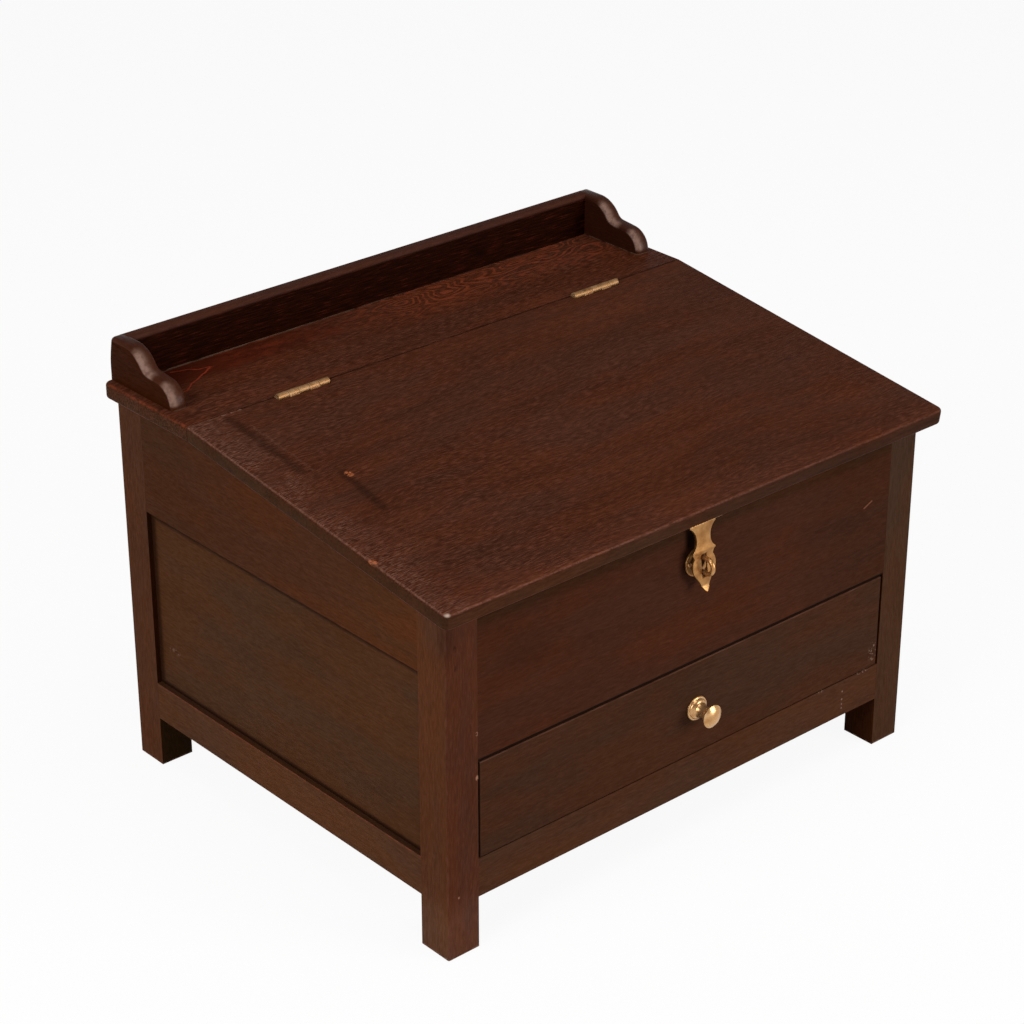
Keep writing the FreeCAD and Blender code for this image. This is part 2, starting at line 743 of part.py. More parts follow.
def hasp_outline():
    """The right half of the strap's outline: fishtail, neck, pointed wing, nick, teardrop and tail."""
    top = hasp_barrel_radius + hasp_barrel_clearance
    half = hasp_width / 2
    neck = hasp_neck_width / 2
    wing = hasp_wing_width / 2
    nick = hasp_nick_width / 2
    wing_drop = hasp_slot_top - hasp_wing_rise
    neck_drop = hasp_slot_top - hasp_neck_rise
    round_drop = (hasp_slot_top + hasp_slot_bottom) / 2
    nick_drop = round_drop - math.sqrt(hasp_teardrop_radius ** 2 - nick ** 2)
    low_angle = math.radians(34)
    low = (hasp_teardrop_radius * math.cos(low_angle), round_drop + hasp_teardrop_radius * math.sin(low_angle))
    tail_drop = round_drop + hasp_tail_length
    tail = hasp_tip_width / 2
    hollow = (neck + 0.22 * (half - neck), hasp_fishtail_length + 0.38 * (neck_drop - hasp_fishtail_length))
    flare = (neck + 0.28 * (wing - neck), neck_drop + 0.58 * (wing_drop - neck_drop))
    taper = (tail + 0.42 * (low[0] - tail), low[1] + 0.5 * (tail_drop - low[1]))
    return [[(0, top), (half, top)], [(half, top), (half, hasp_fishtail_length)],
            [(half, hasp_fishtail_length), hollow, (neck, neck_drop)],
            [(neck, neck_drop), flare, (wing, wing_drop)],
            [(wing, wing_drop), (nick, nick_drop)],
            [(nick, nick_drop), (hasp_teardrop_radius, round_drop), low],
            [low, taper, (tail, tail_drop)], [(tail, tail_drop), (0, tail_drop)]]


def hasp_tip():
    """The pointed end below the tail, bent a little forward."""
    tail_drop = (hasp_slot_top + hasp_slot_bottom) / 2 + hasp_tail_length
    tail = hasp_tip_width / 2
    end = tail_drop + hasp_tip_length
    shoulder = (0.72 * tail, tail_drop + 0.45 * hasp_tip_length)
    half = [[(0, tail_drop), (tail, tail_drop)], [(tail, tail_drop), shoulder, (0, end)]]
    tip = plate_from(mirrored_outline(half), -hasp_thickness / 2, hasp_thickness)
    bend_line = FreeCAD.Vector(0, hasp_thickness / 2, -tail_drop)
    tip.rotate(bend_line, X_AXIS, -hasp_tip_bend)
    return tip


def hasp_overlay():
    """The raised upper part of the strap, which ends in a round lip just above the slot."""
    outline = hasp_outline()
    body = plate_from(mirrored_outline(outline), -hasp_thickness / 2 - hasp_overlay_thickness,
                      hasp_overlay_thickness)
    lip_radius = hasp_wing_width * 0.62
    lip = rod(lip_radius, (0, -hasp_width, -(hasp_slot_top - 1.0) + lip_radius), Y_AXIS, 2 * hasp_width)
    upper = box((-hasp_width, hasp_width), (-hasp_width, hasp_width), (0, -(hasp_slot_top - 1.0) + lip_radius))
    return body.common(fused([lip, upper]))


def make_hasp_strap():
    """The hasp's strap: one shaped plate with its knuckle, a raised upper part and the slot."""
    plate = plate_from(mirrored_outline(hasp_outline()), -hasp_thickness / 2, hasp_thickness)
    _, knuckle_x, _ = hasp_knuckles()
    neck_x = (knuckle_x[0] - hasp_x, knuckle_x[1] - hasp_x)
    top = hasp_barrel_radius + hasp_barrel_clearance
    link = box(neck_x, (-hasp_thickness / 2, hasp_thickness / 2), (-top - hasp_thickness, 0))
    strap = fused([plate, hasp_overlay(), hasp_tip(), link])
    slot = slotted_hole()
    strap = strap.cut(slot)
    strap.rotate(FreeCAD.Vector(0, 0, 0), X_AXIS, -hasp_rest_tilt)
    strap.translate(FreeCAD.Vector(hasp_x, hasp_pivot_y, hasp_pivot_z))
    bore = hasp_pin_radius + hasp_pin_clearance
    pin_space = rod(bore, (knuckle_x[0] - hasp_width, hasp_pivot_y, hasp_pivot_z), X_AXIS, 3 * hasp_width)
    return fused([strap.cut(pin_space), hasp_knuckle(knuckle_x, bore)])


def slotted_hole():
    """The round-ended slot that passes over the staple."""
    radius = hasp_slot_width / 2
    high = -hasp_slot_top - radius
    low = -hasp_slot_bottom + radius
    deep = 4 * hasp_thickness
    ends = [rod(radius, (0, -deep, z), Y_AXIS, 2 * deep) for z in (high, low)]
    return fused(ends + [box((-radius, radius), (-deep, deep), (low, high))])


def make_staple_plate():
    """The round plate that the staple's legs pass through."""
    plate = rod(staple_plate_radius, (hasp_x, body_front, staple_z), Y_AXIS * -1, staple_plate_thickness)
    return plate.cut(make_staple_loop()).cut(make_staple_pins())


def wire_section(side):
    """The section of the staple's wire where its upper (+1) or lower (-1) leg meets the bend."""
    centre = FreeCAD.Vector(hasp_x, staple_loop_y, staple_z + side * staple_loop_radius)
    corners = [centre + FreeCAD.Vector(c.x, 0, c.y) for c in many_sided(staple_wire_radius)]
    return Part.Face(Part.makePolygon(corners + corners[:1]))


def make_staple_loop():
    """The staple: a half ring with two legs driven into the front board."""
    ring = wire_section(1).revolve(FreeCAD.Vector(hasp_x, staple_loop_y, staple_z), X_AXIS, 180)
    leg_length = staple_loop_reach + staple_leg_depth
    legs = [wire_section(side).extrude(Y_AXIS * leg_length) for side in (-1, 1)]
    return fused([ring] + legs)


def make_staple_pins():
    """Two pins with low heads that hold the plate, left and right of the staple."""
    pins = []
    for side in (-1, 1):
        face = (hasp_x + side * staple_pin_spacing / 2, body_front - staple_plate_thickness, staple_z)
        head = peg(staple_pin_head_radius, face, Y_AXIS * -1, staple_pin_head_height)
        shank = peg(staple_pin_radius, face, Y_AXIS, staple_plate_thickness + staple_pin_length)
        pins.append(fused([head, shank]))
    return Part.makeCompound(pins)


# ---- Drawer -------------------------------------------------------------------------------------------

def dovetails(side):
    """The tails at the front end of a drawer side."""
    pitch = (drawer_side_top - drawer_bottom_edge - 2 * dovetail_end_margin) / dovetail_count
    half = pitch * dovetail_share / 2
    spread = dovetail_length * math.tan(math.radians(dovetail_slope))
    tip_y = drawer_front_back - dovetail_length
    x_range = beside(side, drawer_side_inner_x, drawer_half_width)
    tails = []
    for i in range(dovetail_count):
        z = drawer_bottom_edge + dovetail_end_margin + pitch * (i + 0.5)
        outline = [(drawer_front_back, z - half + spread / 2), (drawer_front_back, z + half - spread / 2),
                   (tip_y, z + half + spread / 2), (tip_y, z - half - spread / 2)]
        tails.append(side_profile(outline, x_range))
    return tails


def make_drawer_side(side):
    """A drawer side with dovetails in front, a housing for the back and a groove for the bottom."""
    board = box(beside(side, drawer_side_inner_x, drawer_half_width), (drawer_front_back, drawer_back_back),
                (drawer_bottom_edge, drawer_side_top))
    return fused([board] + dovetails(side)).cut(make_drawer_back()).cut(make_drawer_bottom())


def make_drawer_back():
    """The drawer's back board, standing on its bottom and let into both sides."""
    half = drawer_side_inner_x + drawer_groove_depth
    return box((-half, half), (drawer_back_back - 2 * drawer_side_thickness, drawer_back_back -
               drawer_side_thickness), (drawer_board_top, drawer_side_top - drawer_side_drop))


def make_drawer_bottom():
    """The thin drawer bottom, grooved into front and sides and running out under the back."""
    half = drawer_side_inner_x + drawer_groove_depth
    return box((-half, half), (drawer_front_back - drawer_groove_depth, drawer_back_back - drawer_side_thickness),
               (drawer_board_bottom, drawer_board_top))


def make_drawer_front():
    """The inset drawer front with sockets for the dovetails, a groove and the knob's screw hole."""
    front = box((-drawer_half_width, drawer_half_width), (body_front, drawer_front_back),
                (drawer_bottom_edge, drawer_top_edge))
    front = bevelled(front, arris_bevel, lambda edge: middle(edge).y < body_front + 1e-6)
    for side in (-1, 1):
        for tail in dovetails(side):
            front = front.cut(tail)
    return front.cut(make_drawer_bottom()).cut(make_knob_screw())


def knob_dome():
    """Points of the knob's domed face in (radius, reach), from its rim to a small flat at its middle."""
    rise = knob_reach - knob_head_rim_reach
    dome_radius = (knob_head_radius ** 2 + rise ** 2) / (2 * rise)
    whole_turn = math.asin(knob_head_radius / dome_radius)
    turns = [whole_turn * (1 - i / knob_dome_bands) for i in range(knob_dome_bands)]
    rises = [math.cos(turn) - math.cos(whole_turn) for turn in turns]
    return [(dome_radius * math.sin(turn), knob_head_rim_reach + rise * part / rises[-1])
            for turn, part in zip(turns, rises)]


def make_knob():
    """The turned knob: flange, cone to a thin waist, and a shallow domed head."""
    outline = [(0, 0), (knob_flange_radius, 0), (knob_flange_radius, knob_flange_thickness),
               (knob_collar_radius, knob_flange_thickness), (knob_waist_radius, knob_waist_reach)]
    outline += knob_dome() + [(0, knob_reach)]
    corners = [FreeCAD.Vector(knob_x + radius, body_front - reach, knob_z) for radius, reach in outline]
    face = Part.Face(Part.makePolygon(corners + corners[:1]))
    knob = face.revolve(FreeCAD.Vector(knob_x, body_front, knob_z), Y_AXIS, 360)
    return knob.cut(make_knob_screw())


def make_knob_screw():
    """The screw from inside the drawer front into the knob."""
    start = (knob_x, drawer_front_back, knob_z)
    head = peg(knob_screw_head_radius, start, Y_AXIS, knob_screw_head_height)
    shank = peg(knob_screw_radius, start, Y_AXIS * -1, drawer_front_thickness + knob_screw_grip)
    return fused([head, shank])


# ---- All nodes ----------------------------------------------------------------------------------------

nodes = {
    "back_top_rail": make_back_top_rail(),
    "back_bottom_rail": make_back_bottom_rail(),
    "back_panel": make_back_panel(),
    "front_board": make_front_board(),
    "front_bottom_rail": make_front_bottom_rail(),
    "bottom_board": make_bottom_board(),
    "well_floor": make_well_floor(),
    "drawer_stops": make_drawer_stops(),
    "top_shelf": make_top_shelf(),
    "gallery_back": make_gallery_back(),
    "lid_board": make_lid_board(),
    "hinge_shelf_screws": make_hinge_shelf_screws(),
    "hinge_lid_screws": make_hinge_lid_screws(),
    "hasp_lid_leaf": make_hasp_lid_leaf(),
    "hasp_leaf_screws": make_hasp_leaf_screws(),
    "hasp_pin": make_hasp_pin(),
    "hasp_strap": make_hasp_strap(),
    "staple_plate": make_staple_plate(),
    "staple_loop": make_staple_loop(),
    "staple_pins": make_staple_pins(),
    "drawer_front": make_drawer_front(),
    "drawer_back": make_drawer_back(),
    "drawer_bottom": make_drawer_bottom(),
    "knob": make_knob(),
    "knob_screw": make_knob_screw(),
}

for side, word in ((-1, "left"), (1, "right")):
    nodes["leg_front_" + word] = make_leg(side, True)
    nodes["leg_back_" + word] = make_leg(side, False)
    nodes["side_top_rail_" + word] = make_side_top_rail(side)
    nodes["side_bottom_rail_" + word] = make_side_bottom_rail(side)
    nodes["side_panel_" + word] = make_side_panel(side)
    nodes["well_ledger_" + word] = make_well_ledger(side)
    nodes["drawer_runner_" + word] = make_drawer_runner(side)
    nodes["drawer_guide_" + word] = make_drawer_guide(side)
    nodes["drawer_side_" + word] = make_drawer_side(side)
    nodes["gallery_bracket_" + word] = make_gallery_bracket(side)

for x, word in zip(hinge_centres(), ("left", "right")):
    nodes["hinge_fixed_leaf_" + word] = make_hinge_fixed_leaf(x)
    nodes["hinge_lid_leaf_" + word] = make_hinge_lid_leaf(x)
    nodes["hinge_pin_" + word] = make_hinge_pin(x)

os.makedirs("parts", exist_ok=True)
for name, shape in nodes.items():
    shape.exportStep("parts/" + name + ".step")
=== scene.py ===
import cmath
import json
import math
import bmesh
import bpy
from mathutils import Matrix, Vector


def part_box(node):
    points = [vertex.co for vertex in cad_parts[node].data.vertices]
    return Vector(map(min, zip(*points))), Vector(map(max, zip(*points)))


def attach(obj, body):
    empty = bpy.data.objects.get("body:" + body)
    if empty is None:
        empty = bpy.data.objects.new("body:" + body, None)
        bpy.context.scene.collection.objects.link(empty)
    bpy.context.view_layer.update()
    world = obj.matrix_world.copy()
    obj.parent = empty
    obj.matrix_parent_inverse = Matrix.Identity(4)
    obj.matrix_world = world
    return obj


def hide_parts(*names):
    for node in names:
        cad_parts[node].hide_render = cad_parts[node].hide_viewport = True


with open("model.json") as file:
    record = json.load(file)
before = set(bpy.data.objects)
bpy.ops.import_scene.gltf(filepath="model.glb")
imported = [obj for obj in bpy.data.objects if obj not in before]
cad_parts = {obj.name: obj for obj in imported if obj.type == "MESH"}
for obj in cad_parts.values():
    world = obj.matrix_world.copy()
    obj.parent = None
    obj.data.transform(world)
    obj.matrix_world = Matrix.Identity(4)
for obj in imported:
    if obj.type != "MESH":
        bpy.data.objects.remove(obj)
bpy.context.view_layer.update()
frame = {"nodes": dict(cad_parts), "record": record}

MM = 0.001
TINY = 1e-3
SIDES = ("left", "right")
SLOTS = {entry["node"]: entry["material_slot"] for entry in frame["record"]["subparts"]}

# ---- Camera: the photograph's view, in degrees and in millimetres of the row frame ----
CAMERA_AZIMUTH = -41.386
CAMERA_ELEVATION = 26.787
CAMERA_DISTANCE = 1817.2
CAMERA_TARGET = (-7.76, 8.61, 177.16)
CAMERA_LENS = 98.17
SENSOR_WIDTH = 36.0


# ---- Places read from the frame, in millimetres ----

def corners(node):
    """A node's lowest and highest corners at rest."""
    low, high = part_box(node)
    return Vector(low) / MM, Vector(high) / MM


def middle(box, y):
    """The middle of a box, seen from the front, at a depth y."""
    low, high = box
    return Vector(((low.x + high.x) / 2, y, (low.z + high.z) / 2))


SHELF_LOW, SHELF_HIGH = corners("top_shelf")
SHELF_TOP = SHELF_HIGH.z
BOARD_EDGE = SHELF_HIGH.x
BOARD_THICKNESS = SHELF_TOP - SHELF_LOW.z
SPLIT_Y = SHELF_LOW.y
LID_SLOPE = math.radians(7.2)
LID_PIVOT = Vector((0, SPLIT_Y, SHELF_LOW.z))
LID_TOP = LID_PIVOT.z + BOARD_THICKNESS
LID_LENGTH = 245.7
LID_FRONT = SPLIT_Y - LID_LENGTH
LID_JOINT_GAP = 0.5
LID_REAR = SPLIT_Y - LID_JOINT_GAP
LID_REAR_TOP = LID_REAR + BOARD_THICKNESS * math.tan(LID_SLOPE)
CORNER_RADIUS = 5.0
ARRIS_RADIUS = 2.2
FRONT_Y = corners("front_board")[0].y
BODY_LEFT = corners("leg_front_left")[0].x
BRACKET_INNER = corners("gallery_bracket_right")[0].x
BRACKET_OUTER = corners("gallery_bracket_right")[1].x
STAPLE = middle(corners("staple_loop"), FRONT_Y)


# ---- Node helpers ----

class Graph:
    """The node tree of a material or world, built by short calls that take sockets or plain values. spot is
    the place on the piece, and color its base colour so far, which coat and tint change."""

    def __init__(self, owner):
        owner.use_nodes = True
        self.owner = owner
        self.tree = owner.node_tree
        self.tree.nodes.clear()
        self.spot = self.color = None

    def node(self, kind, inputs=None, **settings):
        made = self.tree.nodes.new("ShaderNode" + kind)
        for key, value in settings.items():
            setattr(made, key, value)
        for key, value in (inputs or {}).items():
            if isinstance(value, bpy.types.NodeSocket):
                self.tree.links.new(value, made.inputs[key])
            else:
                made.inputs[key].default_value = value
        return made

    def calc(self, operation, a, b=0.0):
        return self.node("Math", {0: a, 1: b}, operation=operation).outputs[0]

    def chain(self, operation, values):
        result = values[0]
        for value in values[1:]:
            result = self.calc(operation, result, value)
        return result

    def times(self, *values):
        return self.chain("MULTIPLY", values)

    def plus(self, *values):
        return self.chain("ADD", values)

    def most(self, *values):
        return self.chain("MAXIMUM", values)

    def vector(self, operation, a, b):
        return self.node("VectorMath", {0: a, 1: b}, operation=operation).outputs[0]

    def scaled(self, vector, factor):
        return self.node("VectorMath", {0: vector, "Scale": factor}, operation="SCALE").outputs[0]

    def dot(self, a, b):
        return self.node("VectorMath", {0: a, 1: b}, operation="DOT_PRODUCT").outputs["Value"]

    def length(self, vector):
        return self.node("VectorMath", {0: vector}, operation="LENGTH").outputs["Value"]

    def split(self, vector):
        return self.node("SeparateXYZ", {0: vector}).outputs

    def parts(self, origin=(0, 0, 0)):
        """The x, y and z of the spot, measured from an origin."""
        return self.split(self.vector("SUBTRACT", self.spot, tuple(origin)))

    def place(self):
        """The place on a piece at rest, in millimetres of the row frame."""
        return self.vector("MULTIPLY", self.node("TexCoord").outputs["Object"], (1 / MM, 1 / MM, 1 / MM))

    def span(self, value, low, high, to_low=0.0, to_high=1.0):
        """Maps low..high to to_low..to_high, clamped and eased at both ends."""
        return self.node("MapRange", {0: value, 1: low, 2: high, 3: to_low, 4: to_high},
                         interpolation_type="SMOOTHSTEP").outputs[0]

    def noise(self, place, scale, detail=3.0, rough=0.55):
        """Noise between 0 and 1. The scale is one number, or three where the noise is drawn out."""
        if isinstance(scale, tuple):
            place, scale = self.vector("MULTIPLY", place, scale), 1.0
        made = self.node("TexNoise", {"Vector": place, "Scale": scale, "Detail": detail, "Roughness": rough})
        return made.outputs["Fac"]

    def centred(self, value, size):
        """A noise value moved to lie about zero, times size."""
        return self.times(self.calc("SUBTRACT", value, 0.5), size)

    def mix(self, factor, a, b):
        return self.node("Mix", {"Factor": factor, 6: a, 7: b}, data_type="RGBA").outputs[2]

    def coat(self, tone, *masks):
        """Covers the colour with a tone as far as the product of the masks says."""
        self.color = self.mix(self.times(*masks), self.color, rgba(tone))

    def tint(self, factors, *masks):
        """Multiplies the colour by three factors, so that its figure stays, as far as the masks say."""
        self.color = self.mix(self.times(*masks), self.color, self.vector("MULTIPLY", self.color, factors))

    def ramp(self, value, stops):
        made = self.node("ValToRGB", {0: value})
        band = made.color_ramp
        for element, (position, color) in zip(band.elements, (stops[0], stops[-1])):
            element.position, element.color = position, rgba(color)
        for position, color in stops[1:-1]:
            band.elements.new(position).color = rgba(color)
        return made.outputs[0]

    def bump(self, height, strength, distance, **inputs):
        """A normal for bumps of a height times distance, in millimetres. Normal names the one below it."""
        inputs = {"Strength": strength, "Distance": distance * MM, "Height": height, **inputs}
        return self.node("Bump", inputs).outputs[0]

    def finish(self, shader):
        kind = "OutputWorld" if isinstance(self.owner, bpy.types.World) else "OutputMaterial"
        self.node(kind, {0: shader.outputs[0]})
        return self.owner


def srgb(*parts):
    """An sRGB colour of three 0..255 parts as linear values."""
    parts = [v / 255 for v in parts]
    return tuple(v / 12.92 if v <= 0.04045 else ((v + 0.055) / 1.055) ** 2.4 for v in parts)


def rgba(color):
    return (*color, 1.0)


def times(color, *factors):
    """A colour with its three parts multiplied, kept inside 0..1."""
    return tuple(min(1.0, v * k) for v, k in zip(color, factors))


# ---- Masks for marks, all in millimetres of the piece's own place ----

def blob(g, centre, radii, soft=0.5):
    """1 inside an ellipsoid, fading out at its edge."""
    offset = g.vector("SUBTRACT", g.spot, tuple(centre))
    return g.span(g.length(g.vector("DIVIDE", offset, radii)), 1.0, 1.0 - soft)


def front_spots(g, rows, soft=0.5, depth=2.0):
    """Spots on the front of the body, from rows of x, z, half width and half height."""
    return g.most(*(blob(g, (x, FRONT_Y, z), (wide, depth, tall), soft) for x, z, wide, tall in rows))


def stroke(g, start, end, half_width, soft=0.6, place=None):
    """1 along a straight line from start to end, fading out at half_width."""
    start, end = Vector(start), Vector(end)
    along = end - start
    offset = g.vector("SUBTRACT", place or g.spot, tuple(start))
    share = g.dot(offset, tuple(along / along.length_squared))
    share = g.calc("MINIMUM", g.calc("MAXIMUM", share, 0.0), 1.0)
    distance = g.length(g.vector("SUBTRACT", offset, g.scaled(tuple(along), share)))
    return g.span(distance, half_width, half_width * (1.0 - soft))


def level_line(g, points, z, half_widths, soft=0.6, place=None):
    """Strokes at one height through points (x, y), each with its own half width."""
    ends = zip(points, points[1:], half_widths)
    return g.most(*(stroke(g, (*a, z), (*b, z), half_width, soft, place) for a, b, half_width in ends))


def arris(g, low, high, width):
    """1 along the edges of the box from low to high, fading out at width from them."""
    above, below = g.vector("SUBTRACT", g.spot, tuple(low)), g.vector("SUBTRACT", tuple(high), g.spot)
    x, y, z = g.split(g.vector("MINIMUM", above, below))
    second = g.calc("MINIMUM", g.calc("MAXIMUM", x, y), z)
    second = g.calc("MAXIMUM", g.calc("MINIMUM", x, y), second)
    return g.span(second, width, width * 0.4)


def warped(g, scale, amount):
    """The place moved about by slow noise, to make a straight mark wander."""
    made = g.node("TexNoise", {"Vector": g.spot, "Scale": scale, "Detail": 2.0})
    offset = g.vector("SUBTRACT", made.outputs["Color"], (0.5, 0.5, 0.5))
    return g.vector("ADD", g.spot, g.vector("MULTIPLY", offset, (amount, amount, 0)))


def broken(g, mask, scale, low=0.42, high=0.62):
    """A mask with gaps in it."""
    return g.times(mask, g.span(g.noise(g.spot, scale, 3.0, 0.6), low, high))


# ---- Wood ----

GRAIN_AXES = {"X": (0, 1, 2), "LID": (0, 1, 2), "Y": (1, 0, 2), "Z": (2, 0, 1)}


def wood(name, along, seed, tone, spread=0.3, pores=0.25, rough=0.5, shine=0.012, marks=None, zone=None):
    """Dark stained hardwood with its grain along one axis, or across the sloping lid. tone is the middle
    colour, spread how far the figure departs from it and pores how strongly the open pores show. zone says
    where they show, and marks paints single marks of use, painted highlights and painted shade."""
    g = Graph(bpy.data.materials.new(name))
    g.spot = g.place()
    if along == "LID":
        level = {"Vector": g.spot, "Center": tuple(LID_PIVOT), "Angle": -LID_SLOPE}
        g.spot = g.node("VectorRotate", level, rotation_type="X_AXIS").outputs[0]
    parts = g.parts()
    turned = g.node("CombineXYZ", {i: parts[axis] for i, axis in enumerate(GRAIN_AXES[along])}).outputs[0]
    grain = g.vector("ADD", turned, (seed * 1370.0, seed * 710.0, seed * 2130.0))
    bend = g.centred(g.noise(grain, (0.004, 0.012, 0.012), 2.0), 34.0)
    wave = g.centred(g.noise(grain, (0.05, 0.09, 0.09), 1.0), 3.0)
    grain = g.vector("ADD", grain, g.node("CombineXYZ", {1: g.plus(bend, wave)}).outputs[0])

    hue = g.noise(grain, (0.009, 0.03, 0.03), 3.0, 0.6)
    cool, warm = times(tone, 0.93, 1.0, 1.12), times(tone, 1.08, 0.98, 0.86)
    middle_color = g.mix(g.span(hue, 0.38, 0.62), rgba(cool), rgba(warm))
    clouds = g.noise(grain, (0.008, 0.05, 0.05), 4.0, 0.6)
    streaks = g.noise(grain, (0.02, 0.4, 0.4), 3.0, 0.6)
    fibres = g.noise(grain, (0.11, 0.9, 0.9), 3.0, 0.7)
    figure = g.plus(g.centred(clouds, 1.6), g.centred(streaks, 1.8), g.centred(fibres, 2.2))
    g.color = g.scaled(middle_color, g.most(g.plus(g.times(figure, spread), 1.0), 0.3))

    strength = zone(g) if zone else 1.0
    grooves = g.noise(grain, (0.16, 1.0, 1.0), 1.0, 0.5)
    pore = g.times(g.span(grooves, 0.50, 0.38), strength)
    ridge = g.times(g.span(grooves, 0.53, 0.68), strength)
    g.coat(times(tone, 0.5, 0.36, 0.34), pore, pores)
    g.coat(times(tone, 1.95, 2.1, 2.6), ridge, pores)
    if marks:
        marks(g)

    relief = g.plus(g.calc("SUBTRACT", ridge, pore), g.times(fibres, 0.5))
    ripple = g.noise(grain, (0.008, 0.05, 0.05), 2.0)
    normal = g.bump(relief, 0.5 * min(1.0, pores + 0.2), 0.1)
    normal = g.bump(ripple, 0.15, 0.6, Normal=normal)
    smudge = g.noise(g.spot, 0.017, 3.0, 0.6)
    gloss = g.plus(g.span(smudge, 0.3, 0.7, rough - 0.05, rough + 0.07), g.times(pore, 0.15))
    return g.finish(g.node("BsdfPrincipled", {"Base Color": g.color, "Roughness": gloss, "Normal": normal,
                                              "Specular IOR Level": shine}))


# ---- Brass ----

BRASS_TONES = [(0.25, srgb(164, 112, 62)), (0.55, srgb(198, 150, 98)), (0.8, srgb(218, 178, 130))]
BRASS_EDGE = srgb(240, 214, 178)


def brass(name, seed, rough=0.3, soften=0.35, tone=(1, 1, 1), marks=None):
    """Brass with fine scratches, darker tarnish and paler, polished edges. Where marks paint it dark as
    painted shade, the metal gives way to a dull surface."""
    g = Graph(bpy.data.materials.new(name))
    g.spot = g.place()
    place = g.vector("ADD", g.spot, (seed * 370.0, seed * 110.0, 0))
    patches = g.noise(place, 0.16, 4.0, 0.6)
    scratches = g.noise(place, (0.9, 2.4, 5.2), 2.0, 0.6)
    g.color = g.ramp(patches, [(position, times(metal, *tone)) for position, metal in BRASS_TONES])
    soft = g.node("Bevel", {"Radius": soften * MM}, samples=4).outputs[0]
    flat = g.node("NewGeometry").outputs["Normal"]
    g.coat(BRASS_EDGE, g.span(g.dot(soft, flat), 0.995, 0.80), 0.5)
    metallic, shine = 0.8, 0.2
    if marks:
        marks(g)
        # where marks paint shade, metallic and shine fall away
        unshaded = g.span(g.length(g.color), 0.11, 0.19)
        metallic, shine = g.times(unshaded, metallic), g.times(unshaded, shine)
    normal = g.bump(scratches, 0.2, 0.03, Normal=soft)
    normal = g.bump(patches, 0.2, 0.08, Normal=normal)
    gloss = g.span(patches, 0.3, 0.75, rough - 0.05, rough + 0.1)
    return g.finish(g.node("BsdfPrincipled", {"Base Color": g.color, "Metallic": metallic, "Normal": normal,
                                              "Roughness": gloss, "Specular IOR Level": shine}))


# ---- Marks of use, painted highlights and painted shade on single boards ----

# Wear colours, which also serve as painted highlights on arrises and corners
HIGHLIGHT_AND_WEAR = srgb(112, 78, 66)
FRONT_HIGHLIGHT_AND_WEAR = srgb(112, 72, 59)
PALE_HIGHLIGHT_AND_WEAR = srgb(190, 168, 152)
DUST = srgb(92, 72, 58)
CHIP = srgb(150, 84, 50)
NICK = srgb(150, 108, 88)
FLECK = srgb(150, 124, 110)
# A dark colour for sooty marks and for painted shadows
SOOT_AND_SHADOW = srgb(34, 17, 10)
GAP = srgb(16, 8, 4)
DOTS_X = 142.6
LID_ORIGIN = (0, LID_FRONT, LID_TOP)
SHELF_ORIGIN = (0, 0, SHELF_TOP)


def lid_zone(g):
    """Where the lid's open grain shows: most towards the left end, and hardly on the edges."""
    x, _, z = g.parts(LID_ORIGIN)
    patches = g.span(g.noise(g.spot, 0.02, 2.0), 0.3, 0.65, 0.6, 1.0)
    top = g.span(z, -2.4, -1.4, 0.3, 1.0)
    return g.times(top, g.span(x, 60.0, -190.0, 0.6, 1.0), patches)


def mark_lid(g):
    """All marks of the lid, in the order in which they cover each other."""
    mark_lid_edges(g)
    seam = level_line(g, [(-172, LID_REAR_TOP), (204, LID_REAR_TOP)], LID_TOP, [1.4])
    g.coat(GAP, broken(g, seam, 0.05, 0.3, 0.55), 0.75)
    mark_lid_strokes(g)
    mark_lid_arris(g)
    crack = stroke(g, (-184, SPLIT_Y, LID_TOP), (-170, SPLIT_Y, LID_TOP), 0.8)
    g.coat(srgb(130, 100, 86), broken(g, crack, 0.35), 0.5)
    mark_lid_graze(g)


def mark_lid_edges(g):
    """Edges painted darker than the top as painted shade, and the front edge lighter at the left and
    darker at the right as painted light and shade. The top is paler near its front.
    """
    x, y, z = g.parts(LID_ORIGIN)
    edge = g.span(z, -1.0, -1.9)
    # painted shade: edges darker than the top
    g.tint((0.68, 0.84, 0.72), edge)
    # painted light and shade: the front edge lighter at the left, darker at the right
    face = g.times(edge, g.span(y, 1.0, 0.5))
    g.tint((1.28, 1.2, 1.2), face, g.span(x, 40.0, -70.0))
    g.tint((1.0, 0.87, 0.92), face, g.span(x, -70.0, 40.0))
    top = g.span(z, -0.9, -0.4)
    g.tint((1.2, 1.15, 1.12), top, g.span(y, 22, 8))
    close = g.span(y, 6.5, 1.5)
    g.tint((1.14, 1.22, 1.28), top, close, g.span(x, -20.0, -150.0))


def mark_lid_strokes(g):
    """Two dark strokes, a pale ridge beside the first, and two chips."""
    wobbled = warped(g, 0.07, 5.0)
    shadow = g.most(level_line(g, [(-183.5, 73), (-182.6, 2)], LID_TOP, [6.0], 0.9, wobbled),
                    level_line(g, [(-163, -14), (-167, -58)], LID_TOP, [5.5], 0.9, wobbled))
    g.coat(SOOT_AND_SHADOW, broken(g, shadow, 0.12, 0.2, 0.5), 0.62)
    ridge = level_line(g, [(-176, 60), (-176, -2)], LID_TOP, [1.6])
    g.coat(HIGHLIGHT_AND_WEAR, broken(g, ridge, 0.5), 0.2)
    chips = g.most(blob(g, (-161, -17.3, LID_TOP), (3.2, 4.2, 2)),
                   blob(g, (-208.9, -99.9, LID_TOP - 0.5), (3, 4.5, 2)))
    g.coat(CHIP, broken(g, chips, 0.55, 0.42, 0.55))


